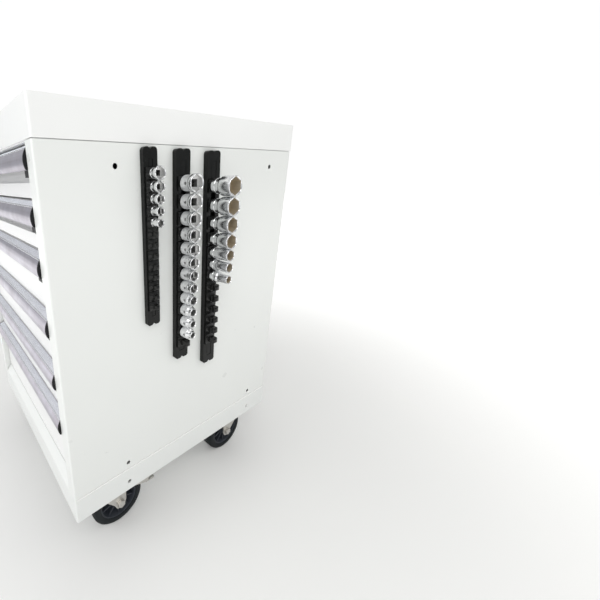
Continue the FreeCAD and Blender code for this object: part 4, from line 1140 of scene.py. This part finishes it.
# %% Lights
def soft_light(name, place, target, size, power, colour):
    """A rectangular light that looks at a point."""
    light = bpy.data.lights.new(name, "AREA")
    light.shape, light.size, light.size_y = "RECTANGLE", size[0], size[1]
    light.energy, light.color = power, colour
    made = placed(name, light)
    made.location = place
    look = Vector(target) - Vector(place)
    made.rotation_euler = look.to_track_quat("-Z", "Y").to_euler()


soft_light("key", (1.7, -1.2, 2.4), (0.2, 0, 0.4), (1.6, 1.6), 21, (1, 0.995, 0.975))
soft_light("fill", (-0.6, -2.4, 1.3), (0, 0, 0.4), (2.0, 1.4), 20, (0.98, 0.985, 1))
soft_light("rear", (1.6, 2.0, 1.8), (0.2, 0.2, 0.4), (1.4, 1.4), 6, (1, 0.98, 0.93))
print("lights:", [light.name for light in bpy.data.lights])

# %% World: grey below, white above, and plain white where the camera sees it
world = bpy.data.worlds.new("studio")
bpy.context.scene.world = world
world.use_nodes = True
sky = world.node_tree
toward = sky.nodes.new("ShaderNodeTexCoord")
split = sky.nodes.new("ShaderNodeSeparateXYZ")
height = sky.nodes.new("ShaderNodeValToRGB")
seen = sky.nodes.new("ShaderNodeLightPath")
choice = sky.nodes.new("ShaderNodeMix")
choice.data_type = "RGBA"
stops = ((0, (0.5, 0.52, 0.54, 1)), (0.75, (1, 1, 0.99, 1)))
for element, (position, colour) in zip(height.color_ramp.elements, stops):
    element.position, element.color = position, colour
sky.links.new(toward.outputs["Generated"], split.inputs[0])
sky.links.new(split.outputs["Z"], height.inputs[0])
sky.links.new(seen.outputs["Is Camera Ray"], choice.inputs["Factor"])
sky.links.new(height.outputs["Color"], choice.inputs[6])
choice.inputs[7].default_value = (1.4, 1.4, 1.4, 1)
sky.nodes["Background"].inputs["Strength"].default_value = 0.72
sky.links.new(choice.outputs[2], sky.nodes["Background"].inputs["Color"])
bpy.context.scene.view_settings.view_transform = "Standard"
print("world:", world.name)

# %% Camera
CAMERA_PLACE = Vector(mm(554.7, -331.6, 595.8))
CAMERA_FORWARD = Vector((-0.784, 0.538, -0.310)).normalized()
CAMERA_RIGHT = Vector((0.572, 0.820, -0.024))
right = (CAMERA_RIGHT - CAMERA_FORWARD * CAMERA_RIGHT.dot(CAMERA_FORWARD)).normalized()
up = right.cross(CAMERA_FORWARD)
turn = Matrix((right, up, -CAMERA_FORWARD)).transposed().to_4x4()
lens = bpy.data.cameras.new("camera")
lens.lens, lens.sensor_width, lens.clip_start = 18.58, 36, 0.01
lens.shift_x, lens.shift_y = 0.267, -0.031
camera = placed("camera", lens)
camera.matrix_world = Matrix.Translation(CAMERA_PLACE) @ turn
bpy.context.scene.camera = camera
print("camera at", tuple(round(value, 3) for value in CAMERA_PLACE))
